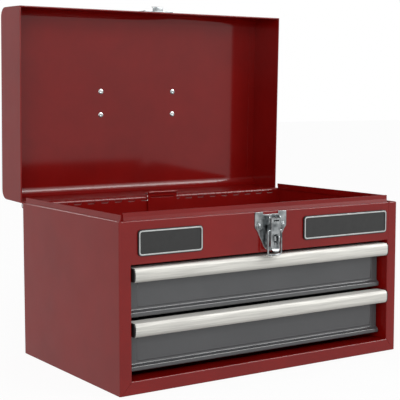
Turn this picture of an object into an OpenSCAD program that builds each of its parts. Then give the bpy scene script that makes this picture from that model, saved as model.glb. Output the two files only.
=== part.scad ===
// Portable steel tool box: lift-up lid over a top compartment, two drawers on ball slides.
// Origin: centre of the underside. +Z up, the drawers open towards -Y. Millimetres.
// Drawn with the lid open and the drawers shut.

/* [Case] */
// Width of the case
body_w = 510; // [480:5:560]
// Depth of the case
body_d = 310; // [295:5:340]
// Height of the shoulder that the lid shuts on
shoulder_z = 242; // [242:1:246]
// Thickness of the case and lid sheet
sheet = 1.2; // [0.9:0.1:1.4]
// Width of the front stiles
stile_w = 18.5; // [16:0.5:22]
// Height of the bottom rail
rail_h = 20; // [16:0.5:20]
// Height of the front rail above the drawers
top_rail_h = 61; // [58:0.5:61]
// Height of the lip on the front rail that stands inside the lid
upstand_h = 11; // [6:0.5:12]
// Height of that lip on the sides
side_upstand_h = 8.5; // [5:0.5:11]
// Distance of that lip from the outer faces
upstand_inset = 3.2; // [3.2:0.1:5]

/* [Lid] */
// Height of the closed lid
lid_h = 73.5; // [60:0.5:90]
// Radius of the long top edges of the lid
lid_r = 16; // [8:1:24]
// Height of the folded hem around the rim
hem_h = 12; // [8:1:14]
// Angle that the lid stands open
lid_open = 88.5; // [60:0.5:95]

/* [Hinge] */
// Outer radius of the rolled knuckles
knuckle_r = 4.6; // [4:0.1:4.8]
// Distance between neighbouring case knuckles
knuckle_pitch = 25.4; // [20:0.1:30]
// Clearance between pin and knuckle bore
pin_play = 0.05; // [0.02:0.01:0.1]

/* [Drawers] */
// Vertical distance between the two drawers
drawer_pitch = 76.3; // [76:0.1:78]
// Height of the lower drawer's lip above the ground
drawer_z = 27.2; // [26.4:0.1:27.6]
// Distance of the drawer fronts behind the front face
front_recess = 19; // [17:0.5:22]
// Thickness of the drawer sheet
drawer_sheet = 1; // [0.8:0.1:1.2]
// Height of the aluminium pulls
pull_h = 19.8; // [16:0.1:20.4]
// Length of the aluminium pulls
pull_w = 465; // [450:1:466]

/* [Latch] */
// Width of the latch base
latch_w = 58; // [50:1:64]
// Distance between the legs of the wire bail
bail_w = 24.4; // [24:0.2:28]
// Radius of the bail wire
bail_r = 1.4; // [1.2:0.1:1.5]

/* [Carry handle] */
// Distance between the handle pivots
handle_w = 145; // [130:5:180]
// Distance of the grip from the pivots
handle_reach = 46; // [40:1:60]

/* [Hidden] */
$fn = 48;

hx = body_w / 2;
hy = body_d / 2;
inner_x = hx - sheet;
open_x = hx - stile_w;
open_top = shoulder_z - top_rail_h;
rim_z = shoulder_z + 0.5;
lid_top = rim_z + lid_h;
up_x = hx - upstand_inset;
up_y = hy - upstand_inset;

// Hinge: the knuckles are rolled outwards from the sheet's inner face
axis_y = hy - sheet + knuckle_r;
axis_z = shoulder_z - 4.4;
pin_r = knuckle_r - sheet - pin_play;
first_knuckle = 44.5;
knuckles_a_side = 8;
knuckle_l = knuckle_pitch / 2 - 0.5;

// Drawers and their slides, measured from the plane that the outer members are fixed to
slide_t = 12.6;
slide_h = 32;
slide_y0 = -hy + 29;
slide_l = 256;
ball_r = 2;
ball_z = 12.6;
cage_l = 60;
drawer_x = open_x - slide_t;
face_x = open_x - 5.5;
face_y = -hy + front_recess;
pan_y1 = 140;
upper_z = drawer_z + drawer_pitch;
lower_z = drawer_z;
slide_mid = 36;
pull_z = 53;
pull_bulge = 2.4;
pull_front = -hy - 2;

// Latch on the front rail
lever_y = -hy - 8;
lever_z = 229;
bail_y = -hy - 11;
bail_z = 214;
bail_l = 36.3;
lever_x = 8.5;
lug_x = 10.4;
rivet_x = 21.5;
rivet_z = 220;

// Drawer lock bar behind the drawers
bar_y = 150.4;
bar_t = 1.6;
bar_top = 250;
bar_drop = 8;
bar_left = -27;
bar_right = 30;
bar_stem = 20;
spring_z0 = 4;
spring_h = 24;
tab_z = 40;

red = "#86302c";
dark_red = "#6e1014";
grey = "#5a5c5f";
aluminium = "#cfd1cc";
bright = "#c4c7c8";
zinc = "#a9adb0";
black = "#1d1e20";

// ---- helpers ----

// Stretches a profile drawn in (y, z) along x, from x0 to x1
module along_x(x0, x1) {
    translate([x0, 0, 0])
        rotate([90, 0, 90])
            linear_extrude(height = x1 - x0)
                children();
}

// Box between two corners
module slab(a, b) {
    translate(a)
        cube(b - a);
}

// Rectangle with rounded corners
module round_rect(x0, y0, x1, y1, r) {
    translate([x0 + r, y0])
        square([x1 - x0 - 2 * r, y1 - y0]);
    translate([x0, y0 + r])
        square([x1 - x0, y1 - y0 - 2 * r]);
    for (x = [x0 + r, x1 - r], y = [y0 + r, y1 - r])
        translate([x, y])
            circle(r = r);
}

// Unit normal of the path p at point i
function path_step(p, i) = p[min(i + 1, len(p) - 1)] - p[max(i - 1, 0)];
function path_normal(p, i) = let (d = path_step(p, i)) [-d[1], d[0]] / norm(d);

// Outline of a strip of thickness t that lies to the left of the path p
function strip(p, t) = concat(
    p,
    [for (i = [len(p) - 1:-1:0]) p[i] + t * path_normal(p, i)]
);

// Points on an arc
function arc(c, r, a0, a1, n = 6) = [
    for (i = [0:n]) let (a = a0 + (a1 - a0) * i / n) c + r * [cos(a), sin(a)]
];

// Puts a piece that is drawn on the closed lid where the open lid has it
module on_open_lid() {
    translate([0, axis_y, axis_z])
        rotate([-lid_open, 0, 0])
            translate([0, -axis_y, -axis_z])
                children();
}

// ---- case ----

// Stile outline in (x, z) with its mitred foot, for the right-hand side
module stile_outline() {
    polygon([
        [hx, 0],
        [hx, shoulder_z],
        [open_x, shoulder_z],
        [open_x, rail_h]
    ]);
}

// One side: wall, shoulder, upstand, front stile and its return, drawn for the right
module side_panel(upstand_y0) {
    upstand_y1 = hy - 3.5;
    slab([inner_x, -hy, 0], [hx, hy, shoulder_z]);
    slab([up_x - sheet, upstand_y0, shoulder_z - sheet], [inner_x, upstand_y1, shoulder_z]);
    slab([up_x - sheet, upstand_y0, shoulder_z - sheet], [up_x, upstand_y1, shoulder_z + side_upstand_h]);
    translate([0, -hy + sheet, 0])
        rotate([90, 0, 0])
            linear_extrude(height = sheet)
                stile_outline();
    slab([open_x, -hy, shoulder_z - sheet], [hx, -up_y, shoulder_z]);
    slab([open_x, -hy + sheet, rail_h], [open_x + sheet, slide_y0 + 8, open_top]);
}

module left_side_panel() {
    color(red)
        mirror([1, 0, 0])
            side_panel(-up_y);
}

module right_side_panel() {
    color(red)
        side_panel(-up_y + 18);
}

// Knuckle ring whose centre lies at x
module knuckle(x) {
    translate([x - knuckle_l / 2, axis_y, axis_z])
        rotate([0, 90, 0])
            difference() {
                cylinder(r = knuckle_r, h = knuckle_l);
                translate([0, 0, -1])
                    cylinder(r = knuckle_r - sheet, h = knuckle_l + 2);
            }
}

module back_panel() {
    color(red)
        difference() {
            union() {
                slab([-inner_x, hy - sheet, 0], [inner_x, hy, axis_z]);
                slab([-25, hy - sheet, axis_z - 1], [25, hy, rim_z - 1]);
                for (side = [-1, 1], i = [0:knuckles_a_side])
                    knuckle(side * (first_knuckle + i * knuckle_pitch));
            }
            for (side = [-1, 1], i = [0:knuckles_a_side])
                lid_knuckle_slot(side * (first_knuckle + (i - 0.5) * knuckle_pitch));
            for (side = [-1, 1], i = [0:knuckles_a_side])
                translate([side * (first_knuckle + i * knuckle_pitch) - knuckle_l, axis_y, axis_z])
                    rotate([0, 90, 0])
                        cylinder(r = knuckle_r - sheet, h = 2 * knuckle_l);
        }
}

// Notch in the back wall that a lid knuckle turns in
module lid_knuckle_slot(x) {
    slab(
        [x - knuckle_l / 2 - 0.5, hy - sheet - 1, axis_z - knuckle_r + 0.6],
        [x + knuckle_l / 2 + 0.5, hy + 1, axis_z + 1]
    );
}

// Height of the mitred joint between stile and bottom rail at x
function mitre_z(x) = rail_h * (hx - x) / stile_w;

module floor_panel() {
    color(red) {
        slab([-inner_x, -hy + sheet, 0], [inner_x, hy - sheet, sheet]);
        translate([0, -hy + sheet, 0])
            rotate([90, 0, 0])
                linear_extrude(height = sheet)
                    polygon([
                        [-inner_x, 0],
                        [inner_x, 0],
                        [inner_x, mitre_z(inner_x) - 0.4],
                        [open_x, rail_h - 0.4],
                        [-open_x, rail_h - 0.4],
                        [-inner_x, mitre_z(inner_x) - 0.4]
                    ]);
        slab([-open_x, -hy + sheet, rail_h - sheet - 0.4], [open_x, -hy + 30, rail_h - 0.4]);
    }
}

// Front rail over the drawers, with its shoulder, upstand and lower return
module front_top_rail() {
    color(red) {
        slab([-open_x + 0.2, -hy, open_top], [open_x - 0.2, -hy + sheet, shoulder_z]);
        slab([-open_x + 0.2, -hy, open_top], [open_x - 0.2, -hy + 16, open_top + sheet]);
        slab([-open_x + 0.2, -hy, shoulder_z - sheet], [open_x - 0.2, -up_y, shoulder_z]);
        slab([-open_x + 0.2, -up_y, shoulder_z - sheet], [open_x, -up_y + sheet, shoulder_z + upstand_h]);
        slab([-hx + 8, -up_y, shoulder_z], [-open_x + 0.2, -up_y + sheet, shoulder_z + upstand_h]);
    }
}

module compartment_floor() {
    color(dark_red)
        difference() {
            slab([-inner_x, -hy + sheet, open_top + sheet], [inner_x, hy - sheet, open_top + 2 * sheet]);
            slab([bar_left - 8, bar_y - 3.4, open_top], [bar_right + 8, hy, open_top + 5]);
        }
}

// Upright that carries the rear ends of the outer slide members, for the right-hand side
module rear_bracket() {
    y0 = 100;
    y1 = 122;
    top = open_top - 2;
    slab([open_x, y0, sheet], [open_x + sheet, y1, top]);
    slab([open_x + sheet, y1 - sheet, sheet], [inner_x - sheet, y1, top]);
    slab([inner_x - sheet, y0, sheet], [inner_x, y1, top]);
}

module left_rear_bracket() {
    color(zinc)
        mirror([1, 0, 0])
            rear_bracket();
}

module right_rear_bracket() {
    color(zinc)
        rear_bracket();
}

// Blank plate with a raised border on the front rail
module badge(x0, z0, x1, z1) {
    translate([0, -hy, 0])
        rotate([90, 0, 0]) {
            linear_extrude(height = 2.4)
                round_rect(x0, z0, x1, z1, 5);
            linear_extrude(height = 3.2)
                difference() {
                    round_rect(x0 + 1.2, z0 + 1.2, x1 - 1.2, z1 - 1.2, 4.2);
                    round_rect(x0 + 3.2, z0 + 3.2, x1 - 3.2, z1 - 3.2, 3);
                }
        }
}

module left_badge() {
    color(black)
        badge(-227, 192.5, -121, 229);
}

module right_badge() {
    color(black)
        badge(62, 194, 230.5, 230);
}

// ---- latch ----

// Base outline in (x, z): two ears over a tapered, rounded foot
module latch_outline() {
    ear_z = 219;
    ear_h = shoulder_z - 0.7 - ear_z;
    foot = concat(
        [[latch_w / 2, ear_z]],
        [[24.4, 213.5], [20.8, 206]],
        arc([0, 198], 15, -15, -165, 12),
        [[-20.8, 206], [-24.4, 213.5]],
        [[-latch_w / 2, ear_z]]
    );
    difference() {
        union() {
            polygon(foot);
            translate([-latch_w / 2, ear_z - 0.1])
                square([latch_w, ear_h + 0.1]);
        }
        translate([-14, shoulder_z - 4.7])
            square([28, 6]);
    }
}

module latch_base() {
    color(bright)
        difference() {
            union() {
                translate([0, -hy, 0])
                    rotate([90, 0, 0])
                        linear_extrude(height = 1.5)
                            latch_outline();
                for (side = [-1, 1]) {
                    translate([side * rivet_x, -hy, rivet_z])
                        rotate([90, 0, 0])
                            cylinder(r = 5.6, h = 3);
                    slab(
                        [side * (lug_x - 0.7) - 0.7, -hy - 12, 222],
                        [side * (lug_x - 0.7) + 0.7, -hy - 1.5, 236]
                    );
                }
            }
            translate([-20, lever_y, lever_z])
                rotate([0, 90, 0])
                    cylinder(r = 1.5, h = 40);
            for (side = [-1, 1])
                translate([side * rivet_x, -hy + 1, rivet_z])
                    rotate([90, 0, 0])
                        cylinder(r = 2, h = 6);
        }
}

module latch_rivets() {
    color(bright)
        for (side = [-1, 1])
            translate([side * rivet_x, -hy - 3, rivet_z])
                rotate([90, 0, 0]) {
                    cylinder(r = 3.4, h = 1.2);
                    translate([0, 0, -3])
                        cylinder(r = 1.95, h = 3);
                }
}

module lever_pivot_pin() {
    color(zinc)
        translate([-lug_x, lever_y, lever_z])
            rotate([0, 90, 0])
                cylinder(r = 1.45, h = 2 * lug_x);
}

// Eye for a padlock, standing out of the base through the lever's window
module padlock_staple() {
    color(bright)
        difference() {
            along_x(-1.2, 1.2)
                difference() {
                    round_rect(-hy - 22.5, 196, -hy - 1.5 + 4, 208, 4);
                    round_rect(-hy - 20, 198.5, -hy - 4, 205.5, 3);
                }
            slab([-3, -hy - 1.5, 190], [3, -hy + 4, 215]);
        }
}

// Lever profile in (y, z): front strip from the top edge to the curled tip
lever_face = concat(
    [[-hy - 15, lever_z + 3.4]],
    [[-hy - 15, 214], [-hy - 13.5, 190]],
    [[-hy - 13.6, 187], [-hy - 14.8, 184.5], [-hy - 17, 183.2]]
);

module latch_lever() {
    color(bright)
        difference() {
            union() {
                along_x(-lever_x, lever_x)
                    polygon(strip(lever_face, 1.4));
                for (side = [-1, 1])
                    along_x(side * (lever_x - 0.6) - 0.6, side * (lever_x - 0.6) + 0.6)
                        polygon([
                            [-hy - 14.5, lever_z + 3.4],
                            [-hy - 5, lever_z + 3.4],
                            [-hy - 4, 212],
                            [-hy - 6, 192],
                            [-hy - 13.2, 190],
                            [-hy - 14.5, 214]
                        ]);
            }
            translate([-20, lever_y, lever_z])
                rotate([0, 90, 0])
                    cylinder(r = 1.5, h = 40);
            translate([-20, bail_y, bail_z])
                rotate([0, 90, 0])
                    cylinder(r = bail_r + 0.05, h = 40);
            slab([-5, -hy - 20, lever_z - 1], [5, -hy - 12, lever_z + 1.2]);
            along_x(-2.4, 2.4)
                round_rect(-hy - 22, 190.5, -hy - 8, 211, 1.5);
        }
}

// Wire loop hung on the lever
module latch_bail() {
    leg_x = bail_w / 2;
    low = bail_z - bail_l;
    corner = 4;
    color(bright) {
        for (side = [-1, 1]) {
            translate([side * leg_x, bail_y, low + corner])
                cylinder(r = bail_r, h = bail_l - corner);
            translate([side * (leg_x + lever_x - 3) / 2 - (leg_x - lever_x + 3) / 2, bail_y, bail_z])
                rotate([0, 90, 0])
                    cylinder(r = bail_r, h = leg_x - lever_x + 3);
            translate([side * (leg_x - corner), bail_y, low + corner])
                rotate([90, 0, 0])
                    rotate([0, 0, side > 0 ? -90 : 180])
                        rotate_extrude(angle = 90)
                            translate([corner, 0])
                                circle(r = bail_r);
        }
        translate([-leg_x + corner, bail_y, low])
            rotate([0, 90, 0])
                cylinder(r = bail_r, h = 2 * (leg_x - corner));
    }
}

// ---- hinge and drawer lock ----

module hinge_pins() {
    start = first_knuckle - knuckle_pitch / 2 - knuckle_l / 2;
    color(zinc)
        for (side = [0, 1])
            mirror([side, 0, 0])
                translate([start, axis_y, axis_z])
                    rotate([0, 90, 0])
                        cylinder(r = pin_r, h = inner_x - start);
}

// Straps on the back wall that the lock bar slides in
module lock_bar_guides() {
    color(zinc)
        for (guide = [[112, -bar_stem, bar_stem], [200, bar_left, bar_right]]) {
            z = guide[0];
            x0 = guide[1] - 1.6;
            x1 = guide[2] + 1.6;
            slab([x0, bar_y - 1.6, z], [x1, bar_y - 0.4, z + 12]);
            slab([x0, bar_y - 1.6, z], [x0 + sheet, hy - sheet, z + 12]);
            slab([x1 - sheet, bar_y - 1.6, z], [x1, hy - sheet, z + 12]);
            slab([x0 - 9, hy - 2 * sheet, z], [x0 + sheet, hy - sheet, z + 12]);
            slab([x1 - sheet, hy - 2 * sheet, z], [x1 + 9, hy - sheet, z + 12]);
        }
}

// Compression spring that lifts the lock bar
module lock_bar_spring() {
    coils = 6;
    color(zinc) {
        translate([0, bar_y - 4.2, spring_z0])
            linear_extrude(height = spring_h, twist = -360 * coils, slices = 16 * coils, $fn = 6)
                translate([3, 0])
                    circle(r = 0.8);
        translate([0, bar_y - 4.2, sheet])
            cylinder(r = 4.2, h = spring_z0 - sheet);
    }
}

// Bar with a rolled top and a foot over the spring
module lock_bar() {
    foot_z = spring_z0 + spring_h + 0.1;
    color(dark_red) {
        difference() {
            slab([bar_left, bar_y, open_top + 12], [bar_right, bar_y + bar_t, bar_top - 2.4]);
            slab([bar_left + 6, bar_y - 1, 238.5], [bar_right - 6, bar_y + 3, 241]);
        }
        slab([-bar_stem, bar_y, foot_z], [bar_stem, bar_y + bar_t, open_top + 12]);
        translate([bar_left, bar_y - 0.8, bar_top - 2.4])
            rotate([0, 90, 0])
                cylinder(r = 2.4, h = bar_right - bar_left);
        slab([-6, bar_y - 8.4, foot_z], [6, bar_y, foot_z + 1.6]);
    }
}

// Hooks welded to the bar, whose ends drop in front of the drawers' catches
module lock_bar_hooks() {
    reach = 5.6;
    color(zinc)
        for (z = [lower_z + tab_z, upper_z + tab_z]) {
            slab([-16, bar_y - sheet, z + 14.6], [16, bar_y, z + 24]);
            slab([-16, bar_y - reach, z + 14.6], [16, bar_y - sheet, z + 15.8]);
            slab([-16, bar_y - reach, z + 8.4], [16, bar_y - reach + sheet, z + 14.6]);
        }
}

// Hooked tab on the back of a drawer that a hook of the lock bar drops in front of
module lock_catch(z) {
    color(zinc) {
        slab([-15, pan_y1, z + tab_z - 14], [15, pan_y1 + 1.2, z + tab_z]);
        slab([-15, pan_y1, z + tab_z - 1.2], [15, bar_y - 1.4, z + tab_z]);
        slab([-15, bar_y - 2.6, z + tab_z], [15, bar_y - 1.4, z + tab_z + 6]);
    }
}

module upper_lock_catch() {
    lock_catch(upper_z);
}

module lower_lock_catch() {
    lock_catch(lower_z);
}

// ---- slides ----

// Draws its children for the right-hand side and mirrored for the left, in place of one slide
module on_both_sides(z) {
    for (side = [0, 1])
        mirror([side, 0, 0])
            translate([open_x, 0, z + slide_mid])
                mirror([1, 0, 0])
                    children();
}

// Outer member, from its fixing plane at x = 0 towards the drawer
module outer_slide() {
    slab([0, slide_y0, -slide_h / 2], [sheet, slide_y0 + slide_l, slide_h / 2]);
    for (s = [0, 1])
        mirror([0, 0, s])
            slab([0, slide_y0, slide_h / 2 - sheet], [9, slide_y0 + slide_l, slide_h / 2]);
}

// Inner member, against the drawer side
module inner_slide() {
    low = ball_z - ball_r - 0.2;
    slab([slide_t - sheet, slide_y0, -low], [slide_t, slide_y0 + slide_l, low]);
    for (s = [0, 1])
        mirror([0, 0, s])
            slab([3, slide_y0, low - sheet], [slide_t, slide_y0 + slide_l, low]);
}

cage_y0 = slide_y0 + slide_l / 2 - cage_l / 2;
ball_u = 6;
balls_a_row = 5;
function ball_y(i) = cage_y0 + 6 + i * 12;

// Strip that keeps the balls apart
module ball_cage() {
    difference() {
        union() {
            slab([1.6, cage_y0, -ball_z - 0.4], [2.4, cage_y0 + cage_l, ball_z + 0.4]);
            for (s = [0, 1])
                mirror([0, 0, s])
                    slab([1.6, cage_y0, ball_z - 0.4], [9, cage_y0 + cage_l, ball_z + 0.4]);
        }
        for (i = [0:balls_a_row - 1])
            translate([ball_u, ball_y(i), -20])
                cylinder(r = ball_r + 0.05, h = 40);
    }
}

module balls() {
    for (i = [0:balls_a_row - 1], s = [-1, 1])
        translate([ball_u, ball_y(i), s * ball_z])
            sphere(r = ball_r, $fn = 24);
}

module upper_outer_slides() {
    color(zinc)
        on_both_sides(upper_z)
            outer_slide();
}

module lower_outer_slides() {
    color(zinc)
        on_both_sides(lower_z)
            outer_slide();
}

module upper_inner_slides() {
    color(zinc)
        on_both_sides(upper_z)
            inner_slide();
}

module lower_inner_slides() {
    color(zinc)
        on_both_sides(lower_z)
            inner_slide();
}

module upper_ball_cages() {
    color(bright)
        on_both_sides(upper_z)
            ball_cage();
}

module lower_ball_cages() {
    color(bright)
        on_both_sides(lower_z)
            ball_cage();
}

module upper_balls() {
    color(bright)
        on_both_sides(upper_z)
            balls();
}

module lower_balls() {
    color(bright)
        on_both_sides(lower_z)
            balls();
}

// ---- drawers ----

// Floor and four walls, bent from one sheet
module drawer_pan(z) {
    y0 = face_y + drawer_sheet;
    low = z + 2;
    side_top = z + 64;
    back_top = z + 58;
    front_top = z + 60;
    color(grey) {
        slab([-drawer_x, y0, low], [drawer_x, pan_y1, low + drawer_sheet]);
        for (side = [0, 1])
            mirror([side, 0, 0])
                slab([drawer_x - drawer_sheet, y0, low], [drawer_x, pan_y1, side_top]);
        slab([-drawer_x, pan_y1 - drawer_sheet, low], [drawer_x, pan_y1, back_top]);
        slab([-drawer_x, y0, low], [drawer_x, y0 + drawer_sheet, front_top]);
    }
}

module upper_drawer_pan() {
    drawer_pan(upper_z);
}

module lower_drawer_pan() {
    drawer_pan(lower_z);
}

// Front in (y, z): flat sheet whose foot steps forward over a ledge into a rolled lip
module drawer_front(z) {
    lip_r = 2.2;
    lip_y = face_y - 3;
    path = concat(
        [[face_y, z + 70]],
        arc([face_y - 2.6, z + 12.8], 2.6, 0, -60, 4),
        arc([lip_y, z + 6.7], lip_r, 120, 180, 4),
        arc([lip_y, z + 1.6 + lip_r], lip_r, 180, 270, 4),
        [[face_y - 1, z + 1.6]]
    );
    panel_x = face_x - 11;
    color(grey) {
        along_x(-face_x, face_x)
            polygon(strip(path, drawer_sheet));
        along_x(-panel_x, panel_x)
            polygon([
                [face_y, z + 13],
                [face_y - 1.2, z + 14.2],
                [face_y - 1.2, z + 53],
                [face_y, z + 53]
            ]);
    }
}

module upper_drawer_front() {
    drawer_front(upper_z);
}

module lower_drawer_front() {
    drawer_front(lower_z);
}

// Bow of the pull's face in (y, z), from its foot to its top
function pull_bow(z) = [
    for (i = [0:8])
        let (s = i / 8, rise = 1 - pow(abs(2 * s - 1), 2.6))
        [pull_front - pull_bulge * rise, z + 1 + (pull_h - 2) * s]
];

// Aluminium extrusion: bowed face, foot rolled back, top plate and rear leg on the drawer front
module drawer_pull(z) {
    zp = z + pull_z;
    path = concat(
        [[pull_front + 6, zp + 1.6], [pull_front + 2, zp]],
        pull_bow(zp),
        [[pull_front + 1.4, zp + pull_h], [face_y, zp + pull_h]]
    );
    color(aluminium) {
        along_x(-pull_w / 2, pull_w / 2)
            polygon(strip([for (i = [len(path) - 1:-1:0]) path[i]], 1.6));
        along_x(-pull_w / 2, pull_w / 2)
            polygon([
                [face_y, zp + pull_h - 1],
                [face_y, zp + 4],
                [face_y - 1.6, zp + 4],
                [face_y - 1.6, zp + pull_h - 1]
            ]);
    }
}

module upper_pull() {
    drawer_pull(upper_z);
}

module lower_pull() {
    drawer_pull(lower_z);
}

// Plastic plates over both ends of the pull
module pull_caps(z) {
    zp = z + pull_z;
    color(black)
        for (side = [0, 1])
            mirror([side, 0, 0])
                along_x(pull_w / 2, pull_w / 2 + 1.8)
                    polygon(concat(
                        [[face_y - 1, zp + 0.6], [pull_front + 2, zp + 0.6]],
                        pull_bow(zp),
                        [[pull_front + 1.6, zp + pull_h - 0.4], [face_y - 1, zp + pull_h - 0.4]]
                    ));
}

module upper_pull_caps() {
    pull_caps(upper_z);
}

module lower_pull_caps() {
    pull_caps(lower_z);
}

// Screws through the drawer front into the pull's rear leg
module pull_screws(z) {
    color(zinc)
        for (x = [-180, -60, 60, 180])
            translate([x, face_y + 2 * drawer_sheet, z + pull_z + 4])
                rotate([-90, 0, 0])
                    cylinder(r1 = 3.2, r2 = 2.4, h = 1.8);
}

module upper_pull_screws() {
    pull_screws(upper_z);
}

module lower_pull_screws() {
    pull_screws(lower_z);
}

// ---- lid, drawn closed and turned open ----

// Closed cross-section of the lid in (y, z), inset by d
module lid_section(d) {
    r = lid_r - d;
    top = lid_top - d;
    translate([-hy + d, rim_z - 1])
        square([body_d - 2 * d, top - r - rim_z + 1]);
    translate([-hy + d + r, rim_z - 1])
        square([body_d - 2 * d - 2 * r, top - rim_z + 1]);
    for (s = [-1, 1])
        translate([s * (hy - d - r), top - r])
            circle(r = r, $fn = 96);
}

// Tab and ring of one lid knuckle
module lid_knuckle(x) {
    slab([x - knuckle_l / 2, hy - sheet, axis_z], [x + knuckle_l / 2, hy, rim_z + 1]);
    knuckle(x);
}

// Front wall, top and rear wall in one sheet, with its front hem and hinge knuckles
module lid_shell() {
    color(red)
        on_open_lid()
            difference() {
                union() {
                    along_x(-inner_x, inner_x)
                        difference() {
                            lid_section(0);
                            lid_section(sheet);
                            translate([-hy - 1, rim_z - 10])
                                square([body_d + 2, 10]);
                        }
                    slab([-inner_x + 2, -hy + sheet, rim_z], [inner_x - 2, -hy + 2 * sheet, rim_z + hem_h]);
                    for (side = [-1, 1], i = [0:knuckles_a_side])
                        lid_knuckle(side * (first_knuckle + (i - 0.5) * knuckle_pitch));
                }
                for (side = [-1, 1])
                    translate([side * 144 - 130, axis_y, axis_z])
                        rotate([0, 90, 0])
                            cylinder(r = knuckle_r - sheet, h = 260);
                handle_rivet_holes();
            }
}

module handle_rivet_holes() {
    for (x = [-1, 1], y = [-1, 1])
        translate([x * handle_w / 2, y * 20, lid_top - 5])
            cylinder(r = 2.4, h = 12);
}

// End wall of the lid with its hem and the flange welded under the top, for the right-hand side
module lid_end() {
    flange_w = 13;
    flat_y = hy - lid_r;
    along_x(inner_x, hx)
        difference() {
            lid_section(0);
            translate([-hy - 1, rim_z - 10])
                square([body_d + 2, 10]);
        }
    slab([inner_x - 1, -hy + 2 * sheet, rim_z], [inner_x, hy - 2 * sheet, rim_z + hem_h]);
    slab([inner_x - flange_w, -flat_y, lid_top - 2 * sheet], [inner_x, flat_y, lid_top - sheet]);
}

module lid_left_end() {
    color(red)
        on_open_lid()
            mirror([1, 0, 0])
                lid_end();
}

module lid_right_end() {
    color(red)
        on_open_lid()
            lid_end();
}

// Hook plate on the lid's front wall that the bail pulls on
module lid_catch() {
    color(bright)
        on_open_lid()
            difference() {
                union() {
                    slab([-latch_w / 2, -hy - 1.5, rim_z + 2], [latch_w / 2, -hy, rim_z + 22]);
                    slab([-10, -hy - 8, 247.5], [10, -hy - 1.5, 248.7]);
                    slab([-10, -hy - 9.2, 247.5], [10, -hy - 8, 253]);
                }
                for (side = [-1, 1])
                    translate([side * rivet_x, -hy + 1, rim_z + 12])
                        rotate([90, 0, 0])
                            cylinder(r = 2, h = 6);
            }
}

module catch_rivets() {
    color(bright)
        on_open_lid()
            for (side = [-1, 1])
                translate([side * rivet_x, -hy - 1.5, rim_z + 12])
                    rotate([90, 0, 0]) {
                        cylinder(r = 3.4, h = 1.2);
                        translate([0, 0, -1.5])
                            cylinder(r = 1.95, h = 1.5);
                    }
}

// Bracket on the lid's rear wall that presses the lock bar down
module lock_bar_pusher() {
    y1 = hy - sheet;
    color(zinc)
        on_open_lid() {
            slab([-15, y1 - 1.2, rim_z - 0.2], [15, y1, rim_z + 18]);
            slab([-15, bar_y - 2.4, rim_z - 0.2], [15, y1 - 1.2, rim_z + 1]);
        }
}

// Saddle with an eye for the handle end, and its foot plate on the lid
module handle_bracket() {
    z0 = lid_top;
    difference() {
        union() {
            slab([-9, -28, z0], [9, 28, z0 + 1.6]);
            slab([-4, -6, z0 + 1.6], [4, 6, z0 + 7]);
            translate([-4, 0, z0 + 7])
                rotate([0, 90, 0])
                    cylinder(r = 6, h = 8);
        }
        translate([-10, 0, z0 + 7])
            rotate([0, 90, 0])
                cylinder(r = 3.05, h = 20);
        for (y = [-20, 20])
            translate([0, y, z0 - 1])
                cylinder(r = 2.4, h = 4);
    }
}

module handle_brackets() {
    color(bright)
        on_open_lid()
            for (side = [-1, 1])
                translate([side * handle_w / 2, 0, 0])
                    handle_bracket();
}

// Blind rivets: flange on the inside of the lid, formed head on the bracket
module handle_rivets() {
    color(bright)
        on_open_lid()
            for (x = [-1, 1], y = [-1, 1])
                translate([x * handle_w / 2, y * 20, lid_top]) {
                    translate([0, 0, -sheet - 1.1])
                        difference() {
                            cylinder(r = 4.65, h = 1.1);
                            translate([0, 0, -1])
                                cylinder(r = 1.6, h = 1.6);
                        }
                    translate([0, 0, -sheet])
                        cylinder(r = 2.35, h = sheet + 1.6);
                    translate([0, 0, 1.6])
                        cylinder(r = 3.4, h = 2);
                }
}

handle_z = lid_top + 7;

// Bent rod of the carry handle, lying back on the lid
module carry_handle_bow() {
    bend = 10;
    leg = handle_w / 2 - 12;
    color(zinc)
        on_open_lid() {
            for (side = [-1, 1]) {
                translate([side > 0 ? leg : -handle_w / 2 - 7, 0, handle_z])
                    rotate([0, 90, 0])
                        cylinder(r = 3, h = handle_w / 2 + 7 - leg);
                translate([side * leg, 0, handle_z])
                    sphere(r = 3);
                translate([side * leg, 0, handle_z])
                    rotate([-90, 0, 0])
                        cylinder(r = 3, h = handle_reach - bend);
                translate([side * (leg - bend), handle_reach - bend, handle_z])
                    rotate([0, 0, side > 0 ? 0 : 90])
                        rotate_extrude(angle = 90)
                            translate([bend, 0])
                                circle(r = 3);
            }
            translate([-leg + bend, handle_reach, handle_z])
                rotate([0, 90, 0])
                    cylinder(r = 3, h = 2 * (leg - bend));
        }
}

// Moulded grip around the middle of the rod
module carry_handle_grip() {
    half = handle_w / 2 - 26;
    color(black)
        on_open_lid()
            translate([-half, handle_reach, handle_z])
                rotate([0, 90, 0])
                    difference() {
                        cylinder(r = 6.5, h = 2 * half);
                        translate([0, 0, -1])
                            cylinder(r = 3.03, h = 2 * half + 2);
                    }
}

left_side_panel();
right_side_panel();
back_panel();
floor_panel();
front_top_rail();
compartment_floor();
left_rear_bracket();
right_rear_bracket();
left_badge();
right_badge();
latch_base();
latch_rivets();
lever_pivot_pin();
padlock_staple();
hinge_pins();
lock_bar_guides();
lock_bar_spring();
upper_outer_slides();
lower_outer_slides();
lid_shell();
lid_left_end();
lid_right_end();
lid_catch();
catch_rivets();
lock_bar_pusher();
handle_brackets();
handle_rivets();
carry_handle_bow();
carry_handle_grip();
upper_drawer_pan();
upper_drawer_front();
upper_pull();
upper_pull_caps();
upper_pull_screws();
upper_inner_slides();
upper_lock_catch();
upper_ball_cages();
upper_balls();
lower_drawer_pan();
lower_drawer_front();
lower_pull();
lower_pull_caps();
lower_pull_screws();
lower_inner_slides();
lower_lock_catch();
lower_ball_cages();
lower_balls();
latch_lever();
latch_bail();
lock_bar();
lock_bar_hooks();
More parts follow.
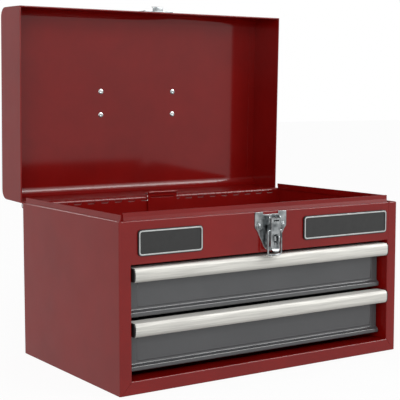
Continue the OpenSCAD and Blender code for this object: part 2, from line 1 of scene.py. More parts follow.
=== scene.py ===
import logging
import math
from dataclasses import dataclass
from enum import Enum
from functools import partialmethod
from typing import Callable, Iterable, Iterator, Self, Sequence

import bmesh
import bpy
from mathutils import Matrix, Vector


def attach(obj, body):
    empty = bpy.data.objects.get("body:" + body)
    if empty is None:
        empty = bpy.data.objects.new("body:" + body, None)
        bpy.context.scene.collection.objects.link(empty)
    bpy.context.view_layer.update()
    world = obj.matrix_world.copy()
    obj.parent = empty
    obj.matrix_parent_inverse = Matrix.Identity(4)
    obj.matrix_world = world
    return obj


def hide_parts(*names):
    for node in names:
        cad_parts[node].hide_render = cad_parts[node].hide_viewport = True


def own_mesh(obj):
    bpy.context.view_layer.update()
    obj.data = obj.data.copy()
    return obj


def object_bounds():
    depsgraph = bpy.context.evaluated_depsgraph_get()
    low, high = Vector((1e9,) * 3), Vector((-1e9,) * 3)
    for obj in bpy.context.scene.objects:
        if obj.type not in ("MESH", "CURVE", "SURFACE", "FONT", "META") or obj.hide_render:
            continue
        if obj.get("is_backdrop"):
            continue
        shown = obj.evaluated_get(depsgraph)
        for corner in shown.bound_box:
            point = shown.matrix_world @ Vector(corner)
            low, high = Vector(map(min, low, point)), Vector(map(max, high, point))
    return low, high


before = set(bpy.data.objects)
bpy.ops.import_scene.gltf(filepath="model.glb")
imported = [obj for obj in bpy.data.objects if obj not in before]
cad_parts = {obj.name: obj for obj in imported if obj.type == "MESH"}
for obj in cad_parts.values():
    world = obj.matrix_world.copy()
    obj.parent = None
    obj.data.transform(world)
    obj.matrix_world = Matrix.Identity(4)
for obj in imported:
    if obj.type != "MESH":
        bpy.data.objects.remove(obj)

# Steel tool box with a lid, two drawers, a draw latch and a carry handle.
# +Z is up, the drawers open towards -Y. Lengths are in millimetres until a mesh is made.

MM = 0.001
# From this share of a unit direction on, an edge or a normal counts as lying along an axis
MOSTLY = 0.9
SMOOTH_ANGLE = math.radians(34)
Pair = tuple[float, float]
Triple = tuple[float, float, float]
Step = Callable[[], None]
Test = Callable[[Vector, Vector], bool]
Socket = bpy.types.NodeSocket
log = logging.getLogger("tool_box")


class Axis(Enum):
    """Direction that a sheet or plate is drawn out along, with the turn that takes local X to it."""

    X = Matrix.Identity(4)
    Y = Matrix(((0, 0, 1, 0), (1, 0, 0, 0), (0, 1, 0, 0), (0, 0, 0, 1)))
    Z = Matrix(((0, 1, 0, 0), (0, 0, 1, 0), (1, 0, 0, 0), (0, 0, 0, 1)))


class Pick(Enum):
    """Kind of mesh element that a test selects."""

    VERT = (True, False, False)
    EDGE = (False, True, False)
    FACE = (False, False, True)


# ---------------- modelling


def clear_selection() -> None:
    """Leaves edit mode and deselects every object."""
    if bpy.context.object and bpy.context.object.mode != "OBJECT":
        bpy.ops.object.mode_set(mode="OBJECT")
    bpy.ops.object.select_all(action="DESELECT")


def everything(middle: Vector, way: Vector) -> bool:
    """Test that every element passes."""
    return True


def near(value: float, goal: float, slack: float = 0.05) -> bool:
    """Whether a length is within a small slack of another."""
    return abs(value - goal) < slack


def extrude(*offset: float) -> Step:
    """Step that draws the selection out by an offset in millimetres."""
    return lambda: bpy.ops.mesh.extrude_region_move(TRANSFORM_OT_translate={"value": Vector(offset) * MM})


def inset(width: float) -> Step:
    """Step that insets the selected faces."""
    return lambda: bpy.ops.mesh.inset(thickness=width * MM)


def bevel(width: float, segments: int = 3) -> Step:
    """Step that rounds the selected edges."""
    return lambda: bpy.ops.mesh.bevel(
        offset=width * MM, segments=segments, affect="EDGES", clamp_overlap=False
    )


def resize(factors: Triple, centre: Triple) -> Step:
    """Step that scales the selection about a point."""
    return lambda: bpy.ops.transform.resize(value=factors, center_override=Vector(centre) * MM)


def split(point: Triple, normal: Triple, **clear: bool) -> Step:
    """Step that cuts the selected faces along a plane."""
    return lambda: bpy.ops.mesh.bisect(
        plane_co=Vector(point) * MM, plane_no=Vector(normal).normalized(), **clear
    )


def drop() -> None:
    """Step that deletes the selected faces."""
    bpy.ops.mesh.delete(type="FACE")


def weld() -> None:
    """Step that merges doubled vertices of the selection."""
    bpy.ops.mesh.remove_doubles(threshold=0.00001)


def fill() -> None:
    """Step that closes open ends."""
    bpy.ops.mesh.fill_holes(sides=0)


def along(path: Sequence[Pair]) -> list[Step]:
    """Steps that draw the selection out from point to point of a path (y, z)."""
    return [extrude(0, b[0] - a[0], b[1] - a[1]) for a, b in zip(path, path[1:])]


def crease(y: float, z: float) -> Test:
    """Test for edges along X at a place."""
    return lambda m, d: abs(d.x) > MOSTLY and near(m.y, y) and near(m.z, z)


class Workpiece:
    """A mesh that is shaped with edit-mode operators."""

    def __init__(self, name: str) -> None:
        """Takes over the primitive that was added last.

        Args:
            name: Name of the object and its mesh.
        """
        self.obj: bpy.types.Object = bpy.context.object
        self.obj.name = self.obj.data.name = name
        self.settle()

    def activate(self) -> None:
        """Makes this the only selected and active object."""
        clear_selection()
        self.obj.select_set(True)
        bpy.context.view_layer.objects.active = self.obj

    def settle(self) -> None:
        """Applies the object's place to its mesh."""
        self.activate()
        bpy.ops.object.transform_apply(location=True, rotation=True, scale=True)

    def edit(self, kind: Pick, test: Test, *steps: Step) -> Self:
        """Selects by place and runs steps on what is selected.

        Args:
            kind: Kind of element to select.
            test: Gets an element's middle in millimetres and its normal, or an edge's direction.
            steps: Operators to run.

        Returns:
            This workpiece.
        """
        self.activate()
        bpy.ops.object.mode_set(mode="EDIT")
        bpy.context.tool_settings.mesh_select_mode = kind.value
        bpy.ops.mesh.select_all(action="DESELECT")
        mesh = bmesh.from_edit_mesh(self.obj.data)
        found = [item for item, middle, way in elements(mesh, kind) if test(middle / MM, way)]
        for item in found:
            item.select = True
        mesh.select_flush_mode()
        bmesh.update_edit_mesh(self.obj.data)
        if not found:
            log.warning("%s: nothing selected", self.obj.name)
        for step in steps:
            step()
        bpy.ops.object.mode_set(mode="OBJECT")
        return self

    verts = partialmethod(edit, Pick.VERT)
    edges = partialmethod(edit, Pick.EDGE)
    faces = partialmethod(edit, Pick.FACE)

    def place(self, rule: Callable[[Vector], Triple]) -> Step:
        """Step that puts each selected vertex where a rule says, in millimetres.

        Args:
            rule: Gets a vertex's place and gives its new one.

        Returns:
            The step.
        """

        def run() -> None:
            """Moves the selected vertices."""
            mesh = bmesh.from_edit_mesh(self.obj.data)
            for vert in mesh.verts:
                if vert.select:
                    vert.co = Vector(rule(vert.co / MM)) * MM
            bmesh.update_edit_mesh(self.obj.data)

        return run

    def modify(self, kind: str, **settings: object) -> Self:
        """Adds a modifier and applies it.

        Args:
            kind: Modifier type.
            settings: Values for its properties.

        Returns:
            This workpiece.
        """
        self.activate()
        modifier = self.obj.modifiers.new(kind.title(), kind)
        for key, value in settings.items():
            setattr(modifier, key, value)
        bpy.ops.object.modifier_apply(modifier=modifier.name)
        return self

    def thicken(self, thickness: float, offset: float = 0.0) -> Self:
        """Turns a surface into sheet metal; offset 1 adds on the side of its normals."""
        return self.modify("SOLIDIFY", thickness=thickness * MM, offset=offset, use_even_offset=True)

    def soften(self, width: float, segments: int = 2, angle: float = 40) -> Self:
        """Rounds every edge sharper than an angle."""
        return self.modify(
            "BEVEL", width=width * MM, segments=segments, limit_method="ANGLE",
            angle_limit=math.radians(angle),
        )

    def cut(self, *tools: "Workpiece") -> Self:
        """Takes the tools' volumes away and deletes the tools.

        Args:
            tools: Workpieces to cut with.

        Returns:
            This workpiece.
        """
        for tool in tools:
            self.modify("BOOLEAN", operation="DIFFERENCE", solver="EXACT", object=tool.obj)
            bpy.data.objects.remove(tool.obj)
        return self

    def join(self, *others: "Workpiece") -> Self:
        """Makes other workpieces part of this one.

        Args:
            others: Workpieces to take in.

        Returns:
            This workpiece.
        """
        self.activate()
        for other in others:
            other.obj.select_set(True)
        bpy.ops.object.join()
        return self

    def turned(self, matrix: Matrix) -> Self:
        """Moves the mesh by a rigid transform in metres.

        Args:
            matrix: The transform.

        Returns:
            This workpiece.
        """
        self.obj.matrix_world = matrix @ self.obj.matrix_world
        self.settle()
        return self

    def flipped(self) -> Self:
        """Brings the mesh to the other side of the box."""
        self.turned(Matrix.Diagonal((-1, 1, 1, 1)))
        return self.faces(everything, bpy.ops.mesh.flip_normals)

    def mirrored(self, name: str) -> "Workpiece":
        """Copies the mesh to the other side of the box.

        Args:
            name: Name of the copy.

        Returns:
            The copy.
        """
        self.activate()
        bpy.ops.object.duplicate()
        return Workpiece(name).flipped()

    def closed(self) -> Self:
        """Merges doubles and points the faces of a closed shape outwards."""
        return self.faces(everything, weld, lambda: bpy.ops.mesh.normals_make_consistent(inside=False))

    def ship(self, finish: "Finish", body: str, *nodes: str) -> Self:
        """Smooths and dresses the piece and puts it on its body.

        Args:
            finish: What its surface is made of.
            body: Body that it rides on.
            nodes: CAD nodes that it stands for.

        Returns:
            This workpiece.
        """
        self.activate()
        bpy.ops.object.shade_smooth_by_angle(angle=SMOOTH_ANGLE)
        # Large flat faces set the normals, so that a sheet stays flat beside its bends
        self.modify("WEIGHTED_NORMAL", keep_sharp=True)
        self.obj.data.materials.clear()
        self.obj.data.materials.append(finish.material())
        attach(self.obj, body)
        if nodes:
            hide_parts(*nodes)
        log.info("%s: %d faces on %s", self.obj.name, len(self.obj.data.polygons), body)
        return self


def elements(mesh: bmesh.types.BMesh, kind: Pick) -> Iterator[tuple]:
    """Elements of a mesh with their middles and directions.

    Args:
        mesh: Mesh in edit mode.
        kind: Kind of element.

    Yields:
        Element, middle in metres, and normal or edge direction.
    """
    if kind is Pick.FACE:
        for face in mesh.faces:
            yield face, face.calc_center_median(), face.normal
    elif kind is Pick.EDGE:
        for edge in mesh.edges:
            a, b = edge.verts[0].co, edge.verts[1].co
            yield edge, (a + b) / 2, (b - a).normalized()
    else:
        for vert in mesh.verts:
            yield vert, vert.co.copy(), vert.normal


def block(name: str, low: Triple, high: Triple) -> Workpiece:
    """Box between two corners.

    Args:
        name: Name of the piece.
        low: Its lowest corner.
        high: Its highest corner.

    Returns:
        The box.
    """
    clear_selection()
    low_v, high_v = Vector(low) * MM, Vector(high) * MM
    bpy.ops.mesh.primitive_cube_add(size=1, location=(low_v + high_v) / 2)
    bpy.context.object.scale = high_v - low_v
    return Workpiece(name)


def rod(name: str, radius: float, start: Triple, end: Triple, sides: int = 32) -> Workpiece:
    """Round bar between two points.

    Args:
        name: Name of the piece.
        radius: Its radius.
        start: Middle of one end.
        end: Middle of the other.
        sides: Faces around it.

    Returns:
        The bar.
    """
    clear_selection()
    a, b = Vector(start) * MM, Vector(end) * MM
    bpy.ops.mesh.primitive_cylinder_add(
        vertices=sides,
        radius=radius * MM,
        depth=(b - a).length,
        location=(a + b) / 2,
        rotation=(b - a).to_track_quat("Z", "Y").to_euler(),
    )
    return Workpiece(name)


def arc(centre: Pair, radius: float, start: float, end: float, steps: int) -> list[Pair]:
    """Points on an arc, angles in degrees."""
    turns = [math.radians(start + (end - start) * i / steps) for i in range(steps + 1)]
    return [(centre[0] + radius * math.cos(a), centre[1] + radius * math.sin(a)) for a in turns]


def fold(
    name: str,
    axis: Axis,
    path: Sequence[Pair],
    start: float,
    end: float,
    bends: dict[int, float] | None = None,
    segments: int = 4,
) -> Workpiece:
    """Surface folded along an axis, still without thickness.

    Args:
        name: Name of the piece.
        axis: Axis that the folds run along.
        path: Cross-section, as (y, z) along X, (z, x) along Y and (x, y) along Z.
        start: Where the sheet begins on the axis.
        end: Where it ends.
        bends: Radius of the fold at each point of the path that has one.
        segments: Faces in each fold.

    Returns:
        The sheet, its normals to the left of the path.
    """
    clear_selection()
    bpy.ops.mesh.primitive_plane_add(size=1)
    sheet = Workpiece(name)
    for index, vert in enumerate(sheet.obj.data.vertices):
        y, z = path[index // 2]
        vert.co = Vector((end if index % 2 else start, y, z)) * MM
    sheet.edges(crease(*path[1]), *along(path[1:]))
    for index, radius in (bends or {}).items():
        before, here, after = (Vector(path[index + k]) for k in (-1, 0, 1))
        turn = (here - before).angle(after - here)
        sheet.edges(crease(*here), bevel(radius * math.tan(turn / 2), segments))
    return sheet.turned(axis.value)


def plate(name: str, axis: Axis, outline: Sequence[Pair], start: float, end: float) -> Workpiece:
    """Flat plate of any outline.

    Args:
        name: Name of the piece.
        axis: Axis across the plate.
        outline: Outline, in the same plane as a fold's path.
        start: Where it begins on the axis.
        end: Where it ends.

    Returns:
        The closed plate.
    """
    clear_selection()
    bpy.ops.mesh.primitive_circle_add(vertices=len(outline), fill_type="NGON")
    piece = Workpiece(name)
    for vert, (y, z) in zip(piece.obj.data.vertices, outline):
        vert.co = Vector((start, y, z)) * MM
    piece.faces(everything, extrude(end - start, 0, 0))
    return piece.turned(axis.value).closed()


def rounded(low: Pair, high: Pair, radius: float, steps: int = 5) -> list[Pair]:
    """Outline of a rectangle with round corners.

    Args:
        low: Its lowest corner.
        high: Its highest corner.
        radius: Radius of the corners.
        steps: Edges in each corner.

    Returns:
        The points of the outline.
    """
    (x0, y0), (x1, y1) = low, high
    corners = [(x1, y1, 0), (x0, y1, 90), (x0, y0, 180), (x1, y0, 270)]
    points: list[Pair] = []
    for x, y, turn in corners:
        inward = (x - radius * (1 if x == x1 else -1), y - radius * (1 if y == y1 else -1))
        points += arc(inward, radius, turn, turn + 90, steps)
    return points


def panel(name: str, outline: Sequence[Pair], start: float, end: float) -> Workpiece:
    """Plate across Y, its outline given as (x, z)."""
    return plate(name, Axis.Y, [(z, x) for x, z in outline], start, end)


def joined(pieces: Iterable[Workpiece]) -> Workpiece:
    """Makes one workpiece of several."""
    first, *others = pieces
    return first.join(*others)


def placed(name: str, data: bpy.types.ID) -> bpy.types.Object:
    """Puts an object with its data into the scene.

    Args:
        name: Name of the object.
        data: Its mesh, lamp or camera.

    Returns:
        The object.
    """
    made = bpy.data.objects.new(name, data)
    bpy.context.collection.objects.link(made)
    return made


def lathe(name: str, profile: Sequence[Pair], place: Triple, way: Triple, steps: int = 24) -> Workpiece:
    """Turned piece.

    Args:
        name: Name of the piece.
        profile: Points (radius, height) from one pole to the other.
        place: Where height 0 lies.
        way: Direction of the axis.
        steps: Faces around it.

    Returns:
        The closed piece.
    """
    clear_selection()
    bpy.ops.mesh.primitive_plane_add(size=1)
    piece = Workpiece(name)
    for index, vert in enumerate(piece.obj.data.vertices):
        radius, height = profile[min(index // 2, 1)]
        vert.co = Vector((radius, 0, height)) * MM
    piece.verts(everything, weld)
    piece.verts(
        lambda m, n: near(m.x, profile[1][0], 0.001) and near(m.z, profile[1][1], 0.001),
        *[extrude(b[0] - a[0], 0, b[1] - a[1]) for a, b in zip(profile[1:], profile[2:])],
    )
    piece.verts(
        everything, lambda: bpy.ops.mesh.spin(steps=steps, angle=math.tau, center=(0, 0, 0), axis=(0, 0, 1))
    )
    turn = Vector(way).to_track_quat("Z", "Y").to_matrix().to_4x4()
    return piece.closed().turned(Matrix.Translation(Vector(place) * MM) @ turn)


def studs(
    name: str, profile: Sequence[Pair], places: Sequence[Triple], way: Triple, steps: int = 24
) -> Workpiece:
    """The same turned piece at several places."""
    return joined(lathe(name, profile, place, way, steps) for place in places)


class Wire:
    """Round wire that is drawn out and bent from one end to the other."""

    def __init__(self, name: str, radius: float, start: Triple, way: Triple, sides: int = 16) -> None:
        """Starts with the open end of the wire.

        Args:
            name: Name of the piece.
            radius: Radius of the wire.
            start: Middle of its first end.
            way: Direction that it sets off in.
            sides: Faces around it.
        """
        clear_selection()
        self.radius = radius
        self.place = Vector(start)
        self.way = Vector(way).normalized()
        bpy.ops.mesh.primitive_circle_add(
            vertices=sides,
            radius=radius * MM,
            location=self.place * MM,
            rotation=self.way.to_track_quat("Z", "Y").to_euler(),
        )
        self.piece = Workpiece(name)

    def front(self, middle: Vector, way: Vector) -> bool:
        """Whether an edge is on the wire's leading end, and not on another bend level with it."""
        apart = middle - self.place
        return abs(apart.dot(self.way)) < 0.01 and apart.length < 1.2 * self.radius

    def run(self, length: float) -> Self:
        """Draws the wire straight on.

        Args:
            length: How far.

        Returns:
            This wire.
        """
        self.piece.edges(self.front, extrude(*(self.way * length)))
        self.place = self.place + self.way * length
        return self

    def turn(self, radius: float, towards: Triple, steps: int = 8) -> Self:
        """Bends the wire by a right angle around a centre that lies on one side of it.

        Args:
            radius: Radius of the bend at the wire's middle.
            towards: Side that the centre lies on.
            steps: Segments in the bend.

        Returns:
            This wire.
        """
        side = Vector(towards).normalized()
        centre = self.place + side * radius
        axis = self.way.cross(side)
        for _ in range(steps):
            part = Matrix.Rotation(math.radians(90 / steps), 3, axis)
            self.piece.edges(
                self.front, extrude(0, 0, 0), self.piece.place(lambda v, c=centre, p=part: c + p @ (v - c))
            )
            self.place = centre + part @ (self.place - centre)
            self.way = part @ self.way
        return self

    def end(self) -> Workpiece:
        """Closes both ends."""
        self.piece.edges(everything, fill)
        return self.piece.closed()


def softened(name: str, node: str, width: float) -> Workpiece:
    """Copy of a CAD node with rounded edges.

    Args:
        name: Name of the piece.
        node: CAD node to copy.
        width: Width of the rounding.

    Returns:
        The merged and bevelled copy.
    """
    clear_selection()
    twin = placed(name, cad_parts[node].data.copy())
    bpy.context.view_layer.objects.active = twin
    twin.select_set(True)
    piece = Workpiece(name)
    piece.faces(everything, weld, lambda: bpy.ops.mesh.dissolve_limited(angle_limit=math.radians(1)))
    return piece.soften(width, angle=30)


# ---------------- finishes


def linear(hex_colour: str) -> tuple[float, float, float, float]:
    """Turns an sRGB hex colour into linear RGBA."""
    values = [int(hex_colour[i : i + 2], 16) / 255 for i in (1, 3, 5)]
    return (*(v / 12.92 if v <= 0.04045 else ((v + 0.055) / 1.055) ** 2.4 for v in values), 1.0)


def per_size(size: float) -> float:
    """Texture scale at which a pattern repeats about every so many millimetres."""
    return 1 / (size * MM)


def add_node(tree: bpy.types.NodeTree, kind: str, **values: object) -> bpy.types.Node:
    """Adds a node with its settings and links.

    Args:
        tree: Tree to add to.
        kind: Node type.
        values: A property of the node, an input by name with _ for a space, or in_ and the input's
            number. A socket as value is linked.

    Returns:
        The node.
    """
    node = tree.nodes.new(kind)
    for key, value in values.items():
        if hasattr(node, key):
            setattr(node, key, value)
            continue
        socket = node.inputs[int(key[3:]) if key.startswith("in_") else key.replace("_", " ")]
        if isinstance(value, Socket):
            tree.links.new(value, socket)
        else:
            socket.default_value = value
    return node


# Middle part of a noise texture's values, which is spread over the wanted span
NOISE = {"From_Min": 0.3, "From_Max": 0.7}


class Surface:
    """A material in the making: its shader, and the textures that are led to it."""

    def __init__(self, name: str) -> None:
        """Makes the material with its shader.

        Args:
            name: Name of the material.
        """
        self.material = bpy.data.materials.new(name)
        self.material.use_nodes = True
        self.tree = self.material.node_tree
        self.shader = self.tree.nodes["Principled BSDF"]
        self.spot = add_node(self.tree, "ShaderNodeTexCoord").outputs["Object"]

    def put(self, **values: object) -> None:
        """Sets the shader's own sockets."""
        for key, value in values.items():
            self.shader.inputs[key.replace("_", " ")].default_value = value

    def noise(self, size: float, detail: float, **others: object) -> Socket:
        """Noise that repeats about every so many millimetres."""
        settings = {"Vector": self.spot, "Scale": per_size(size), "Detail": detail, **others}
        return add_node(self.tree, "ShaderNodeTexNoise", **settings).outputs[0]

    def tint(self, value: Socket, low: str, high: str) -> None:
        """Varies the colour between two hex colours.

        Args:
            value: Texture to follow.
            low: Colour at its low values.
            high: Colour at its high values.
        """
        tone = add_node(self.tree, "ShaderNodeMapRange", Value=value, **NOISE).outputs[0]
        ends = {"in_6": linear(low), "in_7": linear(high)}
        mixed = add_node(self.tree, "ShaderNodeMix", data_type="RGBA", in_0=tone, **ends)
        self.tree.links.new(mixed.outputs[2], self.shader.inputs["Base Color"])

    def dull(self, value: Socket, low: float, high: float) -> None:
        """Varies the roughness between two values."""
        span = add_node(self.tree, "ShaderNodeMapRange", Value=value, To_Min=low, To_Max=high, **NOISE)
        self.tree.links.new(span.outputs[0], self.shader.inputs["Roughness"])

    def emboss(self, height: Socket, depth: float) -> None:
        """Gives the surface a relief, its depth in millimetres."""
        bump = add_node(self.tree, "ShaderNodeBump", Height=height, Distance=depth * MM, Strength=0.3)
        self.tree.links.new(bump.outputs[0], self.shader.inputs["Normal"])


@dataclass(frozen=True)
class Finish:
    """What a surface is made of and how it was made, with a slot name that nothing here reads."""

    name: str
    slot: str
    colour: str
    roughness: float
    metallic: float = 0.0

    def material(self) -> bpy.types.Material:
        """The finish's material, made when it is first asked for.

        Returns:
            The material.
        """
        if self.name in bpy.data.materials:
            return bpy.data.materials[self.name]
        surface = Surface(self.name)
        surface.put(Base_Color=linear(self.colour), Roughness=self.roughness, Metallic=self.metallic)
        self.dress(surface)
        return surface.material

    def dress(self, surface: Surface) -> None:
        """Adds the finish's own texture; the plain finish has none."""


@dataclass(frozen=True)
class PowderCoat(Finish):
    """Polyester powder coat: melted grains leave a soft orange-peel skin over slow tone changes."""

    dark: str = "#000000"
    gloss: float = 0.17

    def dress(self, surface: Surface) -> None:
        """Clouds the colour slightly, lays orange peel over it and seals it with a glossy skin.

        Args:
            surface: The material in the making.
        """
        surface.tint(surface.noise(90, 4.0, Roughness=0.6), self.dark, self.colour)
        surface.dull(surface.noise(35, 5.0), self.roughness - 0.03, self.roughness + 0.05)
        surface.put(Specular_IOR_Level=0.06, Coat_Weight=self.gloss, Coat_Roughness=0.1, Coat_IOR=2.2)
        # The real skin is about 0.6 mm across; it is drawn coarser so that it can be seen
        surface.emboss(surface.noise(1.4, 1.0), 0.03)


@dataclass(frozen=True)
class BrushedAluminium(Finish):
    """Extruded and anodised aluminium: fine brush lines along its length over pale silver."""

    dark: str = "#b7b6b2"

    def dress(self, surface: Surface) -> None:
        """Draws brush lines along X in colour, gloss and relief.

        Args:
            surface: The material in the making.
        """
        # Brush lines are finer than 0.1 mm; the streaks they gather in are drawn 1.6 mm wide
        scale = (per_size(60), per_size(1.6), per_size(1.6))
        place = add_node(surface.tree, "ShaderNodeMapping", Vector=surface.spot, Scale=scale)
        lines = surface.noise(1 / MM, 3.0, Vector=place.outputs[0])
        surface.tint(lines, self.dark, self.colour)
        surface.dull(lines, self.roughness + 0.06, self.roughness - 0.05)
        surface.emboss(lines, 0.01)


@dataclass(frozen=True)
class PlatedSteel(Finish):
    """Plated pressing: the punch leaves it faintly wavy, and handling leaves duller patches; the darker
    patches in its colour are partly handling marks and partly painted reflection of dark surroundings.
    """

    wave: float = 3.0
    depth: float = 0.05
    haze: float = 0.06
    dark: str = "#8f9496"

    def dress(self, surface: Surface) -> None:
        """Adds waves, duller patches, and darker patches of colour that are partly painted reflection.

        Args:
            surface: The material in the making.
        """
        patch = surface.noise(9, 6.0)
        surface.dull(patch, self.roughness, self.roughness + self.haze)
        # The darker colour patches are partly painted reflection: they stand in for dark surroundings
        # mirrored in the plating, as well as for handling marks
        surface.tint(patch, self.colour, self.dark)
        surface.emboss(surface.noise(self.wave, 2.0), self.depth)


@dataclass(frozen=True)
class MouldedPlastic(Finish):
    """Moulded plastic with the fine spark-eroded grain of its tool."""

    grain: float = 0.5
    relief: float = 0.02

    def dress(self, surface: Surface) -> None:
        """Lays grain over the surface and scuffs it.

        Args:
            surface: The material in the making.
        """
        grain = add_node(
            surface.tree, "ShaderNodeTexVoronoi", Vector=surface.spot, Scale=per_size(self.grain)
        )
        surface.emboss(grain.outputs[0], self.relief)
        surface.dull(surface.noise(12, 6.0), self.roughness, self.roughness + 0.12)


RED = PowderCoat("powder_coat_red", "case_paint", "#8f0f0b", 0.36, dark="#820b08")
GREY = PowderCoat("powder_coat_slate_grey", "drawer_paint", "#555658", 0.36, dark="#4f5052", gloss=0.28)
PULL = BrushedAluminium("aluminium_brushed_anodised", "anodised_aluminium", "#c4c3be", 0.76, 1.0)
# The nickel's dark patch colour is mostly painted reflection of dark surroundings, which the white studio
# does not give
NICKEL = PlatedSteel("nickel_bright_plated_steel", "bright_nickel", "#a9adae", 0.27, 1.0, dark="#55595b")
RIVET = PlatedSteel("aluminium_rivet_bright", "bright_nickel", "#c3c5c4", 0.22, 1.0, wave=1.5)
ZINC = PlatedSteel("zinc_bright_passivated_steel", "zinc_plate", "#b4b8ba", 0.34, 1.0, wave=5.0, haze=0.12)
CHROME = PlatedSteel("chrome_steel_polished", "ball_steel", "#e0e1e2", 0.06, 1.0, depth=0.0, haze=0.02)
CAP = MouldedPlastic("polypropylene_black_moulded", "cap_black", "#18191a", 0.45)
GRIP = MouldedPlastic("pvc_black_moulded_grip", "grip_black", "#161617", 0.5, grain=0.8)
FIELD = MouldedPlastic("abs_black_moulded", "badge_black", "#0c0d0d", 0.52, grain=0.9, relief=0.01)
BORDER = PlatedSteel(
    "foil_silver_hot_stamped", "badge_black", "#bfc1c0", 0.28, 1.0, wave=1.2, haze=0.1, dark="#a9acab"
)


# ---------------- case

# Middle of the hinge, and its knuckles: radius to the middle of the sheet, length and pitch
HINGE: Triple = (0.0, 158.4, 237.6)
KNUCKLE_MID = 4.0
KNUCKLE_LONG = 12.2
PITCH = 25.4
# Half the gap that the knuckles leave for the lock bar
BAR_GAP = 25.2
SPOTS = [side * (44.5 + PITCH * i) for side in (-1, 1) for i in range(9)]
LID_SPOTS = [side * (31.8 + PITCH * i) for side in (-1, 1) for i in range(9)]


def roll_tabs(sheet: Workpiece, spots: Sequence[float], path: Sequence[Pair]) -> None:
    """Draws tabs out of a sheet's edge and rolls them into knuckles.

    Args:
        sheet: Sheet whose edge lies along X.
        spots: Middle of each tab on X.
        path: Points (y, z) that the tabs pass, the edge first.
    """
    half = KNUCKLE_LONG / 2
    for x in spots:
        for side in (-half, half):
            sheet.faces(everything, split((x + side, 0, 0), (1, 0, 0)))
    on_edge = crease(*path[0])
    sheet.edges(lambda m, d: on_edge(m, d) and any(abs(m.x - x) < half for x in spots), *along(path))


